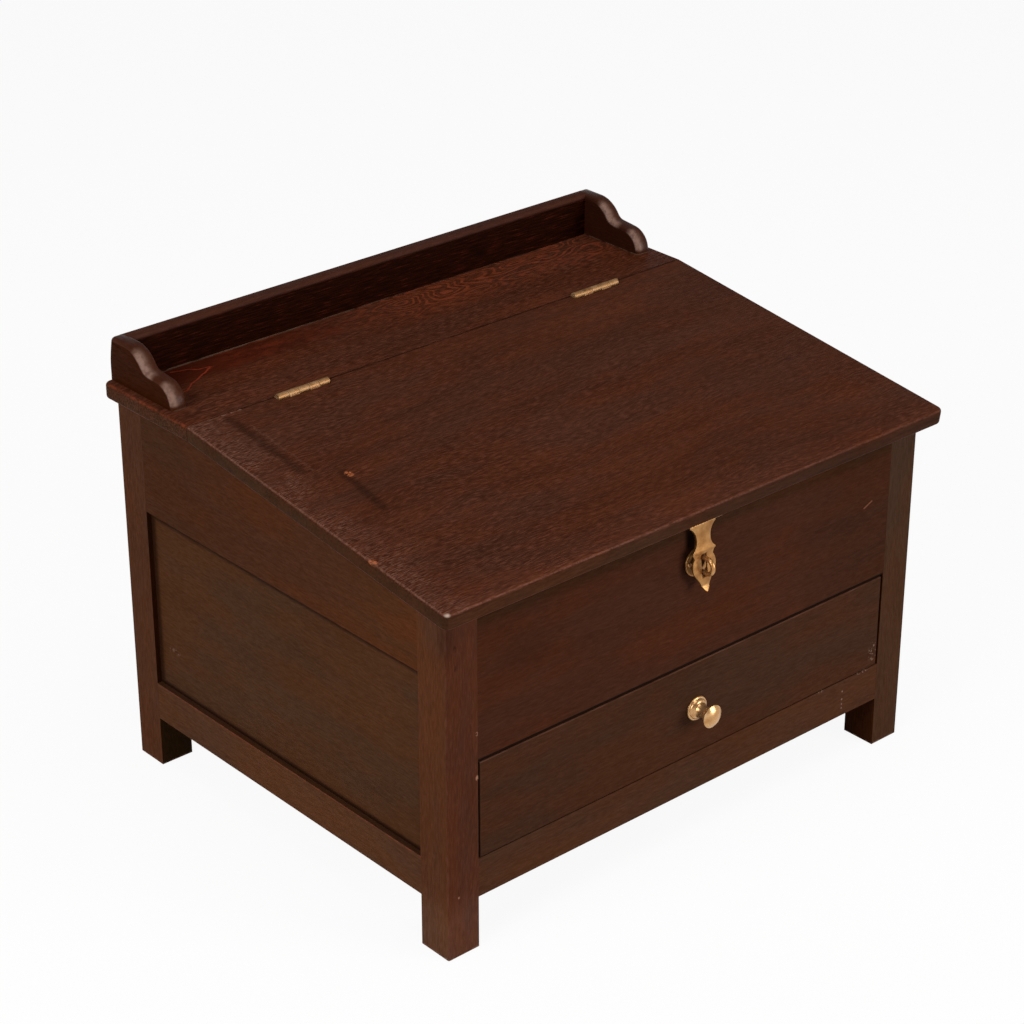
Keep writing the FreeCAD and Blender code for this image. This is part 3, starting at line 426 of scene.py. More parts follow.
def mark_lid_arris(g):
    """A painted highlight with wear along the arris, most at the left, and a pale painted highlight
    with wear at the front left corner.
    """
    x, y, _ = g.parts(LID_ORIGIN)
    far_back = SPLIT_Y + 1000
    line = arris(g, (-BOARD_EDGE, LID_FRONT, LID_PIVOT.z), (BOARD_EDGE, far_back, LID_TOP), 1.5)
    line = g.times(line, g.span(g.noise(g.spot, 0.45, 3.0, 0.7), 0.36, 0.62, 0.25, 1.0))
    highlight_wear_tone = g.mix(g.span(y, 12, 2), rgba(HIGHLIGHT_AND_WEAR), rgba(FRONT_HIGHLIGHT_AND_WEAR))
    # painted highlight with wear along the arris
    g.color = g.mix(g.times(line, g.span(x, 200.0, -150.0, 0.25, 0.7)), g.color, highlight_wear_tone)
    # pale painted highlight with wear at the front left corner
    inset = 1.4
    corner = blob(g, (-BOARD_EDGE + inset, LID_FRONT + inset, LID_TOP - 0.4), (3.2, 2.8, 1.7), 0.9)
    g.coat(PALE_HIGHLIGHT_AND_WEAR, corner, 0.8)


def mark_lid_graze(g):
    """Short pale dashes along the left end, with a patch of them near the front."""
    x, _, z = g.parts(LID_ORIGIN)
    border = g.times(g.span(x, -176.0, -200.0), g.span(z, -0.8, -0.3),
                     g.span(g.noise(g.spot, 0.035, 2.0), 0.35, 0.6, 0.3, 1.0))
    patch = blob(g, (-181, -98.5, LID_TOP), (16, 14, 3), 0.9)
    dashes = g.span(g.noise(g.spot, (0.2, 1.5, 1.0), 2.0), 0.47, 0.66)
    g.coat(srgb(122, 86, 72), g.most(g.times(patch, 0.6), border), dashes, 0.5)


def mark_shelf(g):
    """Red figure and thin lines at the left, rings of wavy grain at the right, edges painted darker as
    painted shade, a painted highlight with wear along the arris, and dust along the gallery.
    """
    x, y, z = g.parts(SHELF_ORIGIN)
    between = g.span(g.calc("ABSOLUTE", x), BRACKET_INNER, BRACKET_INNER - 2)
    wobbled = warped(g, 0.09, 7.0)
    mark_shelf_flame(g, wobbled, between)
    wide = g.times(g.span(y, 104.0, 140.0), g.span(x, -60.0, 40.0), between)
    rings = g.span(g.calc("SINE", g.times(g.noise(g.spot, (0.016, 0.05, 0.05), 1.0), 110.0)), 0.0, 0.9)
    flecked = g.span(g.noise(g.spot, (0.08, 0.5, 0.5), 2.0), 0.3, 0.6, 0.25, 1.0)
    g.coat(srgb(118, 54, 33), wide, rings, flecked, 0.8)
    points = [(-170, 152), (-144, 142), (-170, 129), (-187, 118)]
    flare = g.times(level_line(g, points, SHELF_TOP, [0.8, 1.0, 0.8], 0.6, wobbled), between)
    g.coat(srgb(122, 45, 27), broken(g, flare, 0.15, 0.25, 0.5), 0.8)
    # painted shade: edges darker than the top
    g.tint((0.72, 0.9, 0.8), g.span(z, -1.0, -1.9))
    # painted highlight with wear along the arris
    far_front = SPLIT_Y - 1000
    line = arris(g, (-BOARD_EDGE, far_front, SHELF_LOW.z), SHELF_HIGH, 2.0)
    g.coat(srgb(102, 46, 28), broken(g, line, 0.28, 0.44, 0.64), 0.8)
    dust = g.times(g.span(y, 157.3, 156.8), g.span(y, 155.9, 156.5), between)
    dust = g.times(dust, g.span(z, -0.8, -0.3), g.span(x, 40.0, -150.0, 0.1, 0.55))
    g.coat(DUST, dust, g.span(g.noise(g.spot, 0.15, 2.0), 0.3, 0.55))


def mark_shelf_flame(g, wobbled, between):
    """The dark red figure near the left bracket, with lighter streaks towards the middle."""
    x, y, _ = g.split(wobbled)
    flame = g.times(g.span(x, 10.0, -130.0), g.span(y, 122.0, 140.0), between)
    g.coat(srgb(52, 15, 6), flame, 0.85)
    streaks = g.span(g.noise(wobbled, (0.035, 0.12, 0.1), 4.0, 0.65), 0.46, 0.7)
    g.coat(srgb(94, 37, 20), flame, streaks, g.span(x, -160.0, -90.0, 0.15, 1.0), 0.8)


def mark_gallery_back(g):
    """The inner face painted nearly black as painted shade, with streaks of grain; a dusty glue line at
    the foot; a lighter rounded top.
    """
    x, y, z = g.parts(SHELF_ORIGIN)
    # painted shade: the inner face painted nearly black, with grain
    inside = g.times(g.span(y, 159.6, 158.4), g.span(z, 28.2, 26.0))
    veins = g.noise(g.spot, (0.06, 0.7, 1.3), 4.0, 0.65)
    shaded_grain = g.ramp(veins, [(0.3, srgb(8, 1, 0)), (0.5, srgb(22, 4, 0)), (0.62, srgb(42, 11, 3)),
                          (0.75, srgb(80, 34, 20))])
    g.color = g.mix(g.times(inside, 0.97), g.color, shaded_grain)
    foot = g.times(g.span(z, 0.8, 0.3), g.span(x, 100.0, -120.0, 0.1, 0.8))
    g.coat(DUST, foot, g.span(g.noise(g.spot, 0.08, 2.0), 0.3, 0.55))


def mark_bracket(g):
    """The inner face painted nearly black and the outer face darker, as painted shade; a pale painted
    highlight on the shoulder and the nose; dusty at the foot.
    """
    x, y, z = g.parts(SHELF_ORIGIN)
    across = g.calc("ABSOLUTE", x)
    # painted shade on the inner face and on the outer face
    inner = g.span(across, BRACKET_INNER + 1.4, BRACKET_INNER + 0.6)
    g.tint((0.66, 0.53, 0.44), inner, g.span(z, 0.0, 3.0, 0.8, 1.0))
    g.tint((0.88, 0.66, 0.34), g.span(across, BRACKET_OUTER - 0.3, BRACKET_OUTER - 0.05))
    # pale painted highlight along the rim of the shoulder and the nose
    shoulder = g.times(g.span(y, 146.0, 139.0), g.span(y, 121.0, 127.0))
    nose = g.times(g.span(y, 116.0, 110.0), g.span(z, 1.5, 4))
    right_face = g.span(x, -1.0, 1.0, -BRACKET_INNER, BRACKET_OUTER)
    band = g.span(g.calc("SUBTRACT", right_face, x), 2.0, 9.8, 0.35, 1.0)
    wear_and_highlight_breakup = g.span(g.noise(g.spot, 0.25, 2.0, 0.6), 0.32, 0.62, 0.34, 0.62)
    centre, half = (BRACKET_INNER + BRACKET_OUTER) / 2, (BRACKET_OUTER - BRACKET_INNER) / 2
    off_faces = g.span(g.calc("ABSOLUTE", g.calc("SUBTRACT", across, centre)), half - 0.02, half - 0.3)
    g.coat(srgb(142, 112, 99), g.most(shoulder, nose), g.calc("POWER", band, 4.0), wear_and_highlight_breakup, off_faces)
    foot = g.times(g.span(z, 0.8, 0.2), g.span(across, BRACKET_OUTER - 1, BRACKET_OUTER - 3))
    g.coat(DUST, foot, g.span(g.noise(g.spot, 0.12, 2.0), 0.35, 0.6), 0.6)


def mark_foot(g):
    """Scuffed along the arrises of the foot."""
    z = g.parts()[2]
    scuffs = g.span(g.noise(g.spot, 0.2, 3.0, 0.7), 0.4, 0.6)
    g.coat(srgb(120, 86, 74), g.span(z, 1.6, 0.6), scuffs, 0.7)


def mark_leg_front_left(g):
    """Paler at the foot, the side painted paler as painted light, a painted shadow under the lid, a painted
    highlight down the front corner, and spots and nicks down the front.
    """
    x, _, z = g.parts()
    g.tint((1.28, 1.52, 1.82), g.span(z, 48.0, 22.0))
    # painted light: the side face paler
    g.tint((1.12, 1.26, 1.12), g.span(x, BODY_LEFT + 0.3, BODY_LEFT + 0.1))
    # painted shadow under the lid
    g.coat(SOOT_AND_SHADOW, blob(g, (BODY_LEFT + 1, FRONT_Y + 1, 221), (9, 9, 22), 0.95), 0.4)
    spots = front_spots(g, [(-192.9, 212.4, 1.7, 2.8), (-192.4, 199.5, 1.5, 2.4)])
    g.coat(SOOT_AND_SHADOW, broken(g, spots, 0.4, 0.35, 0.6), 0.55)
    # painted highlight along the front corner
    line = stroke(g, (BODY_LEFT, FRONT_Y, 0), (BODY_LEFT, FRONT_Y, 230), 1.0)
    g.coat(HIGHLIGHT_AND_WEAR, line, g.span(g.noise(g.spot, 0.08, 3.0), 0.4, 0.65, 0.0, 0.2))
    nicks = front_spots(g, [(-176.8, 150, 1.3, 1.8), (-176.8, 120, 1.5, 2.2), (-191.5, 42, 1.0, 1.1)])
    g.coat(NICK, broken(g, nicks, 0.6, 0.38, 0.55), 0.75)
    mark_foot(g)


def mark_leg_front_right(g):
    """The face turned towards the middle is painted nearly black, as painted shade."""
    inner_face = corners("leg_front_right")[0].x
    # painted shade on the inner face
    g.tint((0.7, 0.4, 0.12), g.span(g.parts()[0], inner_face + 0.4, inner_face + 0.1))
    mark_foot(g)


def mark_leg_back_left(g):
    """The face turned to the front is painted dark as painted shade, redder above the rail than below it."""
    _, y, z = g.parts()
    inner_face = corners("leg_back_left")[0].y
    # painted shade on the face turned to the front
    inner = g.span(y, inner_face + 0.15, inner_face + 0.05)
    g.tint((0.4, 0.3, 0.25), inner, g.span(z, 58.0, 62.0))
    g.tint((0.32, 0.42, 0.28), inner, g.span(z, 62.0, 58.0))
    mark_foot(g)


def mark_front_rail(g):
    """A row of pale dots and some flecks near the right end."""
    rows = [(DOTS_X, z, size, size * 1.1) for z, size in ((54.5, 0.8), (48.5, 0.9), (44.8, 0.8), (41.8, 0.8))]
    g.coat(srgb(150, 128, 116), front_spots(g, rows), 0.42)
    flecks = front_spots(g, [(162, 63, 9, 2.2), (122, 63, 5, 1.6)])
    g.coat(FLECK, broken(g, flecks, 0.6, 0.55, 0.62), 0.45)


def mark_drawer_front(g):
    """A painted highlight with wear along its upper arris, dark at both ends, flecked near the lower right
    corner.
    """
    low, high = corners("drawer_front")
    # painted highlight with wear along the upper arris
    line = arris(g, low, (high.x, high.y + 50, high.z), 0.9)
    g.coat(srgb(98, 66, 52), line, g.span(g.noise(g.spot, 0.04, 3.0), 0.35, 0.6, 0.15, 0.6))
    x = g.parts()[0]
    rim = g.calc("MINIMUM", g.calc("SUBTRACT", x, low.x), g.calc("SUBTRACT", high.x, x))
    g.coat(GAP, g.span(rim, 0.7, 0.3), 0.9)
    flecks = front_spots(g, [(170.5, 74, 5, 11)])
    g.coat(FLECK, broken(g, flecks, 0.6, 0.57, 0.64), 0.45)


def mark_side_top_rail(g):
    """Darker towards the back, paler towards the front."""
    y = g.parts()[1]
    g.tint((0.83, 0.9, 0.92), g.span(y, 20.0, 140.0))
    g.tint((1.17, 1.17, 1.03), g.span(y, 0.0, -125.0))


def mark_side_bottom_rail(g):
    """A reddish painted highlight with wear in places along the arris below the panel, and a painted
    shadow on the top.
    """
    z = g.parts()[2]
    top = corners("side_bottom_rail_left")[1].z
    wear_and_highlight_breakup = g.span(g.noise(g.spot, 0.3, 3.0, 0.7), 0.42, 0.62, 0.1, 0.9)
    # painted shadow on the rail's top, under the panel
    g.coat(SOOT_AND_SHADOW, g.span(z, top - 0.2, top - 0.05), 0.45)
    # reddish painted highlight with wear along the arris
    ledge = g.times(g.span(z, top - 1.6, top - 0.6), g.span(z, top, top - 0.15))
    g.coat(srgb(104, 52, 34), ledge, wear_and_highlight_breakup)


def mark_side_panel(g):
    """Painted shade along the four sides of the recess, and a pale fleck."""
    _, y, z = g.parts()
    front, back = corners("leg_front_left")[1].y, corners("leg_back_left")[0].y
    foot, head = corners("side_bottom_rail_left")[1].z, corners("side_top_rail_left")[0].z
    # painted shade in the recess along the rails and stiles
    under_rail = g.span(z, head - 8.0, head - 3.2)
    recess_shade = g.most(g.times(g.span(z, foot + 4.5, foot + 1), 0.9),
                   g.times(g.span(y, back - 6.5, back - 2), 0.75),
                   g.times(g.span(y, front + 6, front), 0.4), g.times(under_rail, under_rail, 0.85))
    g.coat(srgb(26, 12, 6), recess_shade)
    fleck = blob(g, (-197, 128, 93), (3, 9, 3))
    g.coat(srgb(120, 92, 76), broken(g, fleck, 0.3, 0.5, 0.6), 0.4)


def mark_front_board(g):
    """A black gap along the drawer, painted shade under the lid, a scratch, painted shade towards the right,
    a painted shadow of the hasp, and a dark patch towards the left.
    """
    x, _, z = g.parts()
    bottom = corners("front_board")[0].z
    g.coat(GAP, g.span(z, bottom + 1.5, bottom + 1.0), 0.95)
    g.tint((0.72, 0.82, 0.72), g.span(z, 217.0, 223.5))
    scratch = stroke(g, (153, FRONT_Y, 187), (160, FRONT_Y, 190), 0.8)
    g.coat(srgb(140, 84, 62), scratch, 0.5)
    # painted shade towards the right end
    g.tint((0.83, 0.88, 0.86), g.span(x, 60.0, 165.0))
    # painted shadow of the hasp on the board
    hasp_shadow = g.most(g.times(front_spots(g, [(-6.5, 219, 6, 12)], 0.9, 9), 0.9),
                         g.times(front_spots(g, [(-10, 205, 7, 17)], 0.95, 9), 0.6))
    g.coat(times(SOOT_AND_SHADOW, 0.35, 0.3, 0.3), hasp_shadow)
    g.coat(SOOT_AND_SHADOW, front_spots(g, [(-140, 190, 38, 22)], 0.95, 9), 0.25)


def mark_plate(g):
    """The plate painted dark round the staple's feet, as painted shade under the strap."""
    # painted shade round the staple's feet
    g.coat(srgb(72, 38, 14), blob(g, STAPLE, (8.2, 5, 8.2), 0.25), 0.92)


def mark_slot(g):
    """The walls of the strap's slot are painted dark, as painted shade."""
    x, _, z = g.parts(STAPLE)
    # painted shade on the slot's walls
    inside = g.times(g.span(g.calc("ABSOLUTE", x), 2.5, 2.33), g.span(g.calc("ABSOLUTE", z), 8.4, 7.9))
    g.coat(srgb(78, 44, 20), inside, 0.9)


# ---- Pieces built here: helpers ----

def add_object(name, data):
    made = bpy.data.objects.new(name, data)
    bpy.context.collection.objects.link(made)
    return made


def evaluated_mesh(source):
    """A new mesh of an object with its modifiers or curve settings applied."""
    graph = bpy.context.evaluated_depsgraph_get()
    return bpy.data.meshes.new_from_object(source.evaluated_get(graph), depsgraph=graph)


def shade(mesh, sharp_degrees):
    """Smooth shading, with edges kept sharp above an angle."""
    mesh.shade_smooth()
    mesh.set_sharp_from_angle(angle=math.radians(sharp_degrees))


def to_mesh(bm, name):
    """The mesh of a bmesh, which is freed."""
    mesh = bpy.data.meshes.new(name)
    bm.to_mesh(mesh)
    bm.free()
    return mesh


def finish(bm, name, replaced, body, materials, sharp_degrees=35):
    """Turns a bmesh in millimetres into a piece that rides on a body, and may stand for a CAD node."""
    bmesh.ops.recalc_face_normals(bm, faces=bm.faces)
    for vertex in bm.verts:
        vertex.co *= MM
    mesh = to_mesh(bm, name)
    for material in materials:
        mesh.materials.append(material)
    piece = add_object(name, mesh)
    shade(mesh, sharp_degrees)
    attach(piece, body)
    if replaced:
        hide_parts(replaced)
    return piece


def about(pivot, degrees):
    """A turn about a line through a pivot, parallel to X."""
    turn = Matrix.Rotation(math.radians(degrees), 4, "X")
    return Matrix.Translation(pivot) @ turn @ Matrix.Translation(-pivot)


def turns(start_degrees, end_degrees, steps):
    """Evenly spaced angles in radians, both ends included."""
    return [math.radians(start_degrees + (end_degrees - start_degrees) * i / steps) for i in range(steps + 1)]


def prism(outline, direction, length):
    """A bmesh prism from an outline of 3-D points, extruded by length along direction."""
    bm = bmesh.new()
    first = [bm.verts.new(point) for point in outline]
    second = [bm.verts.new(Vector(point) + Vector(direction) * length) for point in outline]
    bm.faces.new(first)
    bm.faces.new(second)
    bridge(bm, [first, second])
    bmesh.ops.recalc_face_normals(bm, faces=bm.faces)
    return bm


def bridge(bm, rings):
    """Faces between closed rings of vertices that follow each other. A ring may be a single point."""
    count = max(len(ring) for ring in rings)
    for a, b in zip(rings, rings[1:]):
        for i in range(count):
            j = (i + 1) % count
            around = [a[i % len(a)], a[j % len(a)], b[j % len(b)], b[i % len(b)]]
            bm.faces.new(list(dict.fromkeys(around)))


def round_over(bm, radius, segments, chosen):
    """Rounds the edges for which chosen(one end, other end) is true."""
    edges = [edge for edge in bm.edges if chosen(edge.verts[0].co, edge.verts[1].co)]
    bmesh.ops.bevel(bm, geom=edges, offset=radius, offset_type="OFFSET", segments=segments, profile=0.5,
                    affect="EDGES", clamp_overlap=False)


def subtract(piece, first, second):
    """Cuts a block between two opposite corners, in millimetres, out of a piece."""
    first, second = Vector(first) * MM, Vector(second) * MM
    size = Matrix.Diagonal([abs(part) for part in second - first] + [1])
    bm = bmesh.new()
    bmesh.ops.create_cube(bm, size=1.0, matrix=Matrix.Translation((first + second) / 2) @ size)
    cutter = add_object("cutter", to_mesh(bm, "cutter"))
    modifier = piece.modifiers.new("cut", "BOOLEAN")
    modifier.operation = "DIFFERENCE"
    modifier.solver = "EXACT"
    modifier.object = cutter
    result = evaluated_mesh(piece)
    piece.modifiers.clear()
    old, piece.data = piece.data, result
    bpy.data.meshes.remove(old)
    bpy.data.objects.remove(cutter)


# ---- Pieces built here: boards and brackets ----

def corner_points(x, y, start_degrees):
    """A rounded corner in plan about (x, y), a quarter turn anticlockwise."""
    return [(x + CORNER_RADIUS * math.cos(t), y + CORNER_RADIUS * math.sin(t))
            for t in turns(start_degrees, start_degrees + 90, 8)]


def make_lid(material):
    """The sloping lid with rounded arrises and corners, notched for the two hinges."""
    inset = BOARD_EDGE - CORNER_RADIUS
    plan = [(BOARD_EDGE, LID_REAR), (-BOARD_EDGE, LID_REAR)]
    plan += corner_points(-inset, LID_FRONT + CORNER_RADIUS, 180)
    plan += corner_points(inset, LID_FRONT + CORNER_RADIUS, 270)
    bm = prism([(x, y, LID_PIVOT.z) for x, y in plan], (0, 0, 1), BOARD_THICKNESS)
    for vertex in bm.verts:
        if vertex.co.y > LID_REAR - TINY:
            vertex.co.y += (vertex.co.z - LID_PIVOT.z) * math.tan(LID_SLOPE)
    round_over(bm, ARRIS_RADIUS, 4, lambda a, b: abs(a.z - b.z) < TINY and min(a.y, b.y) < LID_REAR - TINY)
    bm.transform(about(LID_PIVOT, math.degrees(LID_SLOPE)))
    piece = finish(bm, "lid", "lid_board", "lid", [material])
    play = 0.6
    for side in SIDES:
        low, high = corners("hinge_lid_leaf_" + side)
        subtract(piece, (low.x - play, low.y, low.z - play), (high.x + play, SPLIT_Y + 2, high.z + 20))
    shade(piece.data, 35)


def make_shelf(material):
    """The fixed rear board with rounded back corners and arrises."""
    inset, back = BOARD_EDGE - CORNER_RADIUS, SHELF_HIGH.y - CORNER_RADIUS
    plan = [(-BOARD_EDGE, SPLIT_Y), (BOARD_EDGE, SPLIT_Y)]
    plan += corner_points(inset, back, 0) + corner_points(-inset, back, 90)
    bm = prism([(x, y, SHELF_LOW.z) for x, y in plan], (0, 0, 1), BOARD_THICKNESS)
    round_over(bm, ARRIS_RADIUS, 4, lambda a, b: abs(a.z - b.z) < TINY and max(a.y, b.y) > SPLIT_Y + TINY)
    finish(bm, "shelf", "top_shelf", "carcass", [material])


def make_gallery_board(material):
    """The gallery's back board with a rounded top."""
    low, high = corners("gallery_back")
    lap = 4.5
    back, top = high.y - 0.05, high.z - 0.02
    outline = [(low.x - lap, y, z) for y, z in ((low.y, low.z), (back, low.z), (back, top), (low.y, top))]
    bm = prism(outline, (1, 0, 0), high.x - low.x + 2 * lap)
    round_over(bm, 2.6, 5, lambda a, b: min(a.z, b.z) > top - 0.1 and abs(a.y - b.y) < TINY)
    finish(bm, "gallery_board", "gallery_back", "carcass", [material])


def arc(centre, radius, start, end, steps):
    """Points (u, h) on an arc whose radius leans from upright by start..end degrees, towards the nose."""
    u, h = centre
    return [(u + radius * math.sin(t), h + radius * math.cos(t)) for t in turns(start, end, steps)]


def scroll_outline(height):
    """The bracket's outline as (distance from the back, height): top, shoulder, hollow, waist, nose."""
    top_radius, shoulder, hollow, nose, length = 3, 22, 7, 15, 66
    steep, gentle = 55, 5
    points = [(0, 0)] + arc((top_radius, height - top_radius), top_radius, -90, 0, 4)
    points += arc((17, height - shoulder), shoulder, 0, steep, 10)
    end_u, end_h = points[-1]
    lean = math.radians(steep)
    dip = (end_u + hollow * math.sin(lean), end_h + hollow * math.cos(lean))
    points += arc(dip, -hollow, steep, gentle, 8)[1:]
    waist_u, waist_h = points[-1]
    lean = math.radians(gentle)
    nose_u = length - nose
    start_h = waist_h - (nose_u + nose * math.sin(lean) - waist_u) * math.tan(lean)
    points += arc((nose_u, start_h - nose * math.cos(lean)), nose, gentle, 90, 12)
    return points + [(length, 0)]


def make_bracket(side, flat, glossy):
    """A scrolled gallery bracket with well rounded arrises, which are glossier than its faces."""
    node = "gallery_bracket_" + side
    low, high = corners(node)
    outline = [(low.x, high.y - u, low.z + h) for u, h in scroll_outline(high.z - low.z)]
    bm = prism(outline, (1, 0, 0), high.x - low.x)

    def on_rim(a, b):
        above = max(a.z, b.z) > low.z + TINY
        behind = min(a.y, b.y) > high.y - TINY
        return abs(a.x - b.x) < TINY and above and not behind

    round_over(bm, 3.4, 5, on_rim)
    bm.normal_update()
    for face in bm.faces:
        face.material_index = 1 if abs(face.normal.x) < 0.95 and face.normal.z > -0.5 else 0
    finish(bm, "bracket_" + side, node, "carcass", [flat, glossy])


# ---- Pieces built here: brass ----

def lathe(profile, centre, axis, segments):
    """A turned bmesh from (radius, reach) points; reach runs from centre along axis."""
    bm = bmesh.new()
    ring_turns = turns(0, 360, segments)[:-1]
    rings = []
    for radius, reach in profile:
        around = ring_turns if radius > 1e-6 else [0.0]
        rings.append([bm.verts.new((radius * math.cos(t), radius * math.sin(t), reach)) for t in around])
    bridge(bm, rings)
    turn = Vector(axis).to_track_quat("Z", "Y").to_matrix().to_4x4()
    bm.transform(Matrix.Translation(centre) @ turn)
    return bm


def bow(start, end, bulge, steps):
    """Points from start to end, without start, bowed sideways by bulge at the middle."""
    start, end = Vector(start), Vector(end)
    side = (end - start).orthogonal().normalized()
    shares = [i / steps for i in range(1, steps + 1)]
    return [tuple(start.lerp(end, s) + side * bulge * 4 * s * (1 - s)) for s in shares]


def make_knob(material):
    """The turned knob: dished flange, ring, tapering neck and domed head."""
    low, high = corners("knob")
    flange = (high.x - low.x) / 2
    reach = FRONT_Y - low.y
    head = 7.9
    dish, ring, neck = (flange - 1.15, 1.7), (5.2, 3.8), (3.9, 8.8)
    throat, rim = (head - 1.6, 12.4), (head - 0.1, 14.7)
    profile = [(0, 0), (flange - 0.3, 0), (flange, 0.35), (flange, 1.0), (flange - 0.15, 1.35),
               (flange - 0.5, 1.6), (flange - 0.9, 1.75), dish]
    profile += bow(dish, ring, -0.3, 6) + bow(ring, neck, 0.35, 8) + bow(neck, throat, 0.7, 8)
    profile += bow(throat, rim, -0.35, 6)
    rise = reach - rim[1]
    dome = (rim[0] ** 2 + rise ** 2) / (2 * rise)
    whole = math.degrees(math.asin(rim[0] / dome))
    profile += [(dome * math.sin(t), reach - dome * (1 - math.cos(t))) for t in turns(whole, 0, 14)[1:]]
    bm = lathe(profile, middle((low, high), FRONT_Y), (0, -1, 0), 72)
    finish(bm, "knob_turned", "knob", "drawer", [material], 40)


def tube(path, radius, sides=18):
    """A closed round bar along a path of points in one YZ plane."""
    bm = bmesh.new()
    across = Vector((1, 0, 0))
    rings = []
    for i, point in enumerate(path):
        ahead = path[min(i + 1, len(path) - 1)] - path[max(i - 1, 0)]
        up = ahead.cross(across).normalized()
        rings.append([bm.verts.new(point + (across * math.cos(t) + up * math.sin(t)) * radius)
                      for t in turns(0, 360, sides)[:-1]])
    bridge(bm, rings)
    bm.faces.new(rings[0])
    bm.faces.new(rings[-1])
    return bm


def make_staple(material):
    """The staple: a round wire bent to a half ring on two legs."""
    low, high = corners("staple_loop")
    wire = 1.6
    x, z = STAPLE.x, STAPLE.z
    ring = (high.z - low.z) / 2 - wire * math.cos(math.radians(22.5))
    bend_y = FRONT_Y - 9.2
    straight_y = bend_y + 3
    path = [Vector((x, high.y, z + ring)), Vector((x, straight_y, z + ring))]
    path += [Vector((x, bend_y - ring * math.sin(t), z + ring * math.cos(t))) for t in turns(0, 180, 24)]
    path += [Vector((x, straight_y, z - ring)), Vector((x, high.y, z - ring))]
    finish(tube(path, wire * 0.97), "staple_wire", "staple_loop", "carcass", [material], 60)


def through(first, second, last, steps=10):
    """Points after first on the circle through three points, as far as last."""
    a, b, c = complex(*first), complex(*second), complex(*last)
    ratio = (c - a) / (b - a)
    centre = a + (b - a) * (ratio - abs(ratio) ** 2) / (2j * ratio.imag)
    whole = cmath.phase((c - centre) / (a - centre))
    points = [centre + (a - centre) * cmath.rect(1, whole * i / steps) for i in range(1, steps + 1)]
    return [(point.real, point.imag) for point in points]


def both_sides(half):
    """A closed outline from its right half, which starts and ends on the middle line."""
    return half + [(-x, drop) for x, drop in reversed(half[1:-1])]


def stamped(outlines, low, high, soften=0.18):
    """A softened plate from outlines of (x, drop) points, the first its edge and the others holes, between
    two depths in front of the strap's middle plane."""
    curve = bpy.data.curves.new("stamped", "CURVE")
    curve.dimensions = "2D"
    curve.fill_mode = "BOTH"
    curve.extrude = (high - low) / 2 - soften
    curve.bevel_depth = soften
    curve.bevel_resolution = 2
    curve.offset = -soften
    for outline in outlines:
        spline = curve.splines.new("POLY")
        spline.points.add(len(outline) - 1)
        for point, (x, drop) in zip(spline.points, outline):
            point.co = (x, -drop, 0, 1)
        spline.use_cyclic_u = True
    holder = add_object("stamped", curve)
    mesh = evaluated_mesh(holder)
    bpy.data.objects.remove(holder)
    bpy.data.curves.remove(curve)
    bm = bmesh.new()
    bm.from_mesh(mesh)
    bpy.data.meshes.remove(mesh)
    bmesh.ops.remove_doubles(bm, verts=bm.verts, dist=TINY)
    bm.transform(Matrix.Rotation(math.radians(90), 4, "X") @ Matrix.Translation((0, 0, (low + high) / 2)))
    return bm


def joined(parts):
    """One bmesh that holds several."""
    whole = bmesh.new()
    for part in parts:
        mesh = to_mesh(part, "part")
        whole.from_mesh(mesh)
        bpy.data.meshes.remove(mesh)
    return whole


def strap_knuckle():
    """The curl round the hasp's pin, softened at both ends."""
    bore, outer, half, soften = 0.87, 2.0, 3.3, 0.15
    ring = [(bore, -half), (outer - soften, -half), (outer, -half + soften), (outer, half - soften),
            (outer - soften, half), (bore, half), (bore, -half)]
    knuckle = lathe(ring, (0, 0, 0), (1, 0, 0), 32)
    bmesh.ops.remove_doubles(knuckle, verts=knuckle.verts, dist=TINY)
    return knuckle


def make_strap(material):
    """The hasp's strap: fishtail, neck, pointed wings under a raised layer, slotted leaf and bent tip. Its
    points are (x, drop below the pin)."""
    pin_low, pin_high = corners("hasp_pin")
    front, overlap = 0.6, 0.3
    top, shoulder, neck, wing, nick = (10.75, 2.5), (10.75, 3.6), (5.85, 13.2), (9.7, 20.1), (7.7, 24.38)
    cheek, tail = (8.083, 35.81), (3.1, 43.76)
    upper = [(0, 2.5), top, shoulder] + through(shoulder, (7.1, 7.4), neck)
    upper += through(neck, (6.95, 17.2), wing)
    leaf = upper + [nick] + through(nick, (9.75, 30.36), cheek) + through(cheek, (5.2, 39.8), tail)
    leaf.append((0, tail[1]))
    lip = upper + [(9.5, 20.9)] + through((9.5, 20.9), (5.2, 22.3), (0, 22.75))
    half_slot, slot_top, slot_bottom = 2.3, 25.2, 35.52
    circle = [(half_slot * math.cos(t), half_slot * math.sin(t)) for t in turns(0, 180, 12)]
    slot = [(x, slot_top - drop) for x, drop in circle] + [(-x, slot_bottom + drop) for x, drop in circle]
    plate = stamped([both_sides(leaf), slot], -front, front)
    layer = stamped([both_sides(lip)], front - 0.4, front + 0.8)
    point = [(0, tail[1] - overlap), (tail[0], tail[1] - overlap), tail]
    point += through(tail, (2.2, 45.9), (0, 48.3), 6)
    tip = stamped([both_sides(point)], -front, front)
    tip.transform(about(Vector((0, front, -tail[1])), -22))
    link = stamped([[(-3.3, 1.3), (3.3, 1.3), (3.3, 3.4), (-3.3, 3.4)]], -front, front, 0.05)
    whole = joined([plate, layer, tip, link, strap_knuckle()])
    whole.transform(Matrix.Translation((pin_low + pin_high) / 2) @ Matrix.Rotation(math.radians(-7), 4, "X"))
    finish(whole, "strap", "hasp_strap", "hasp", [material], 40)


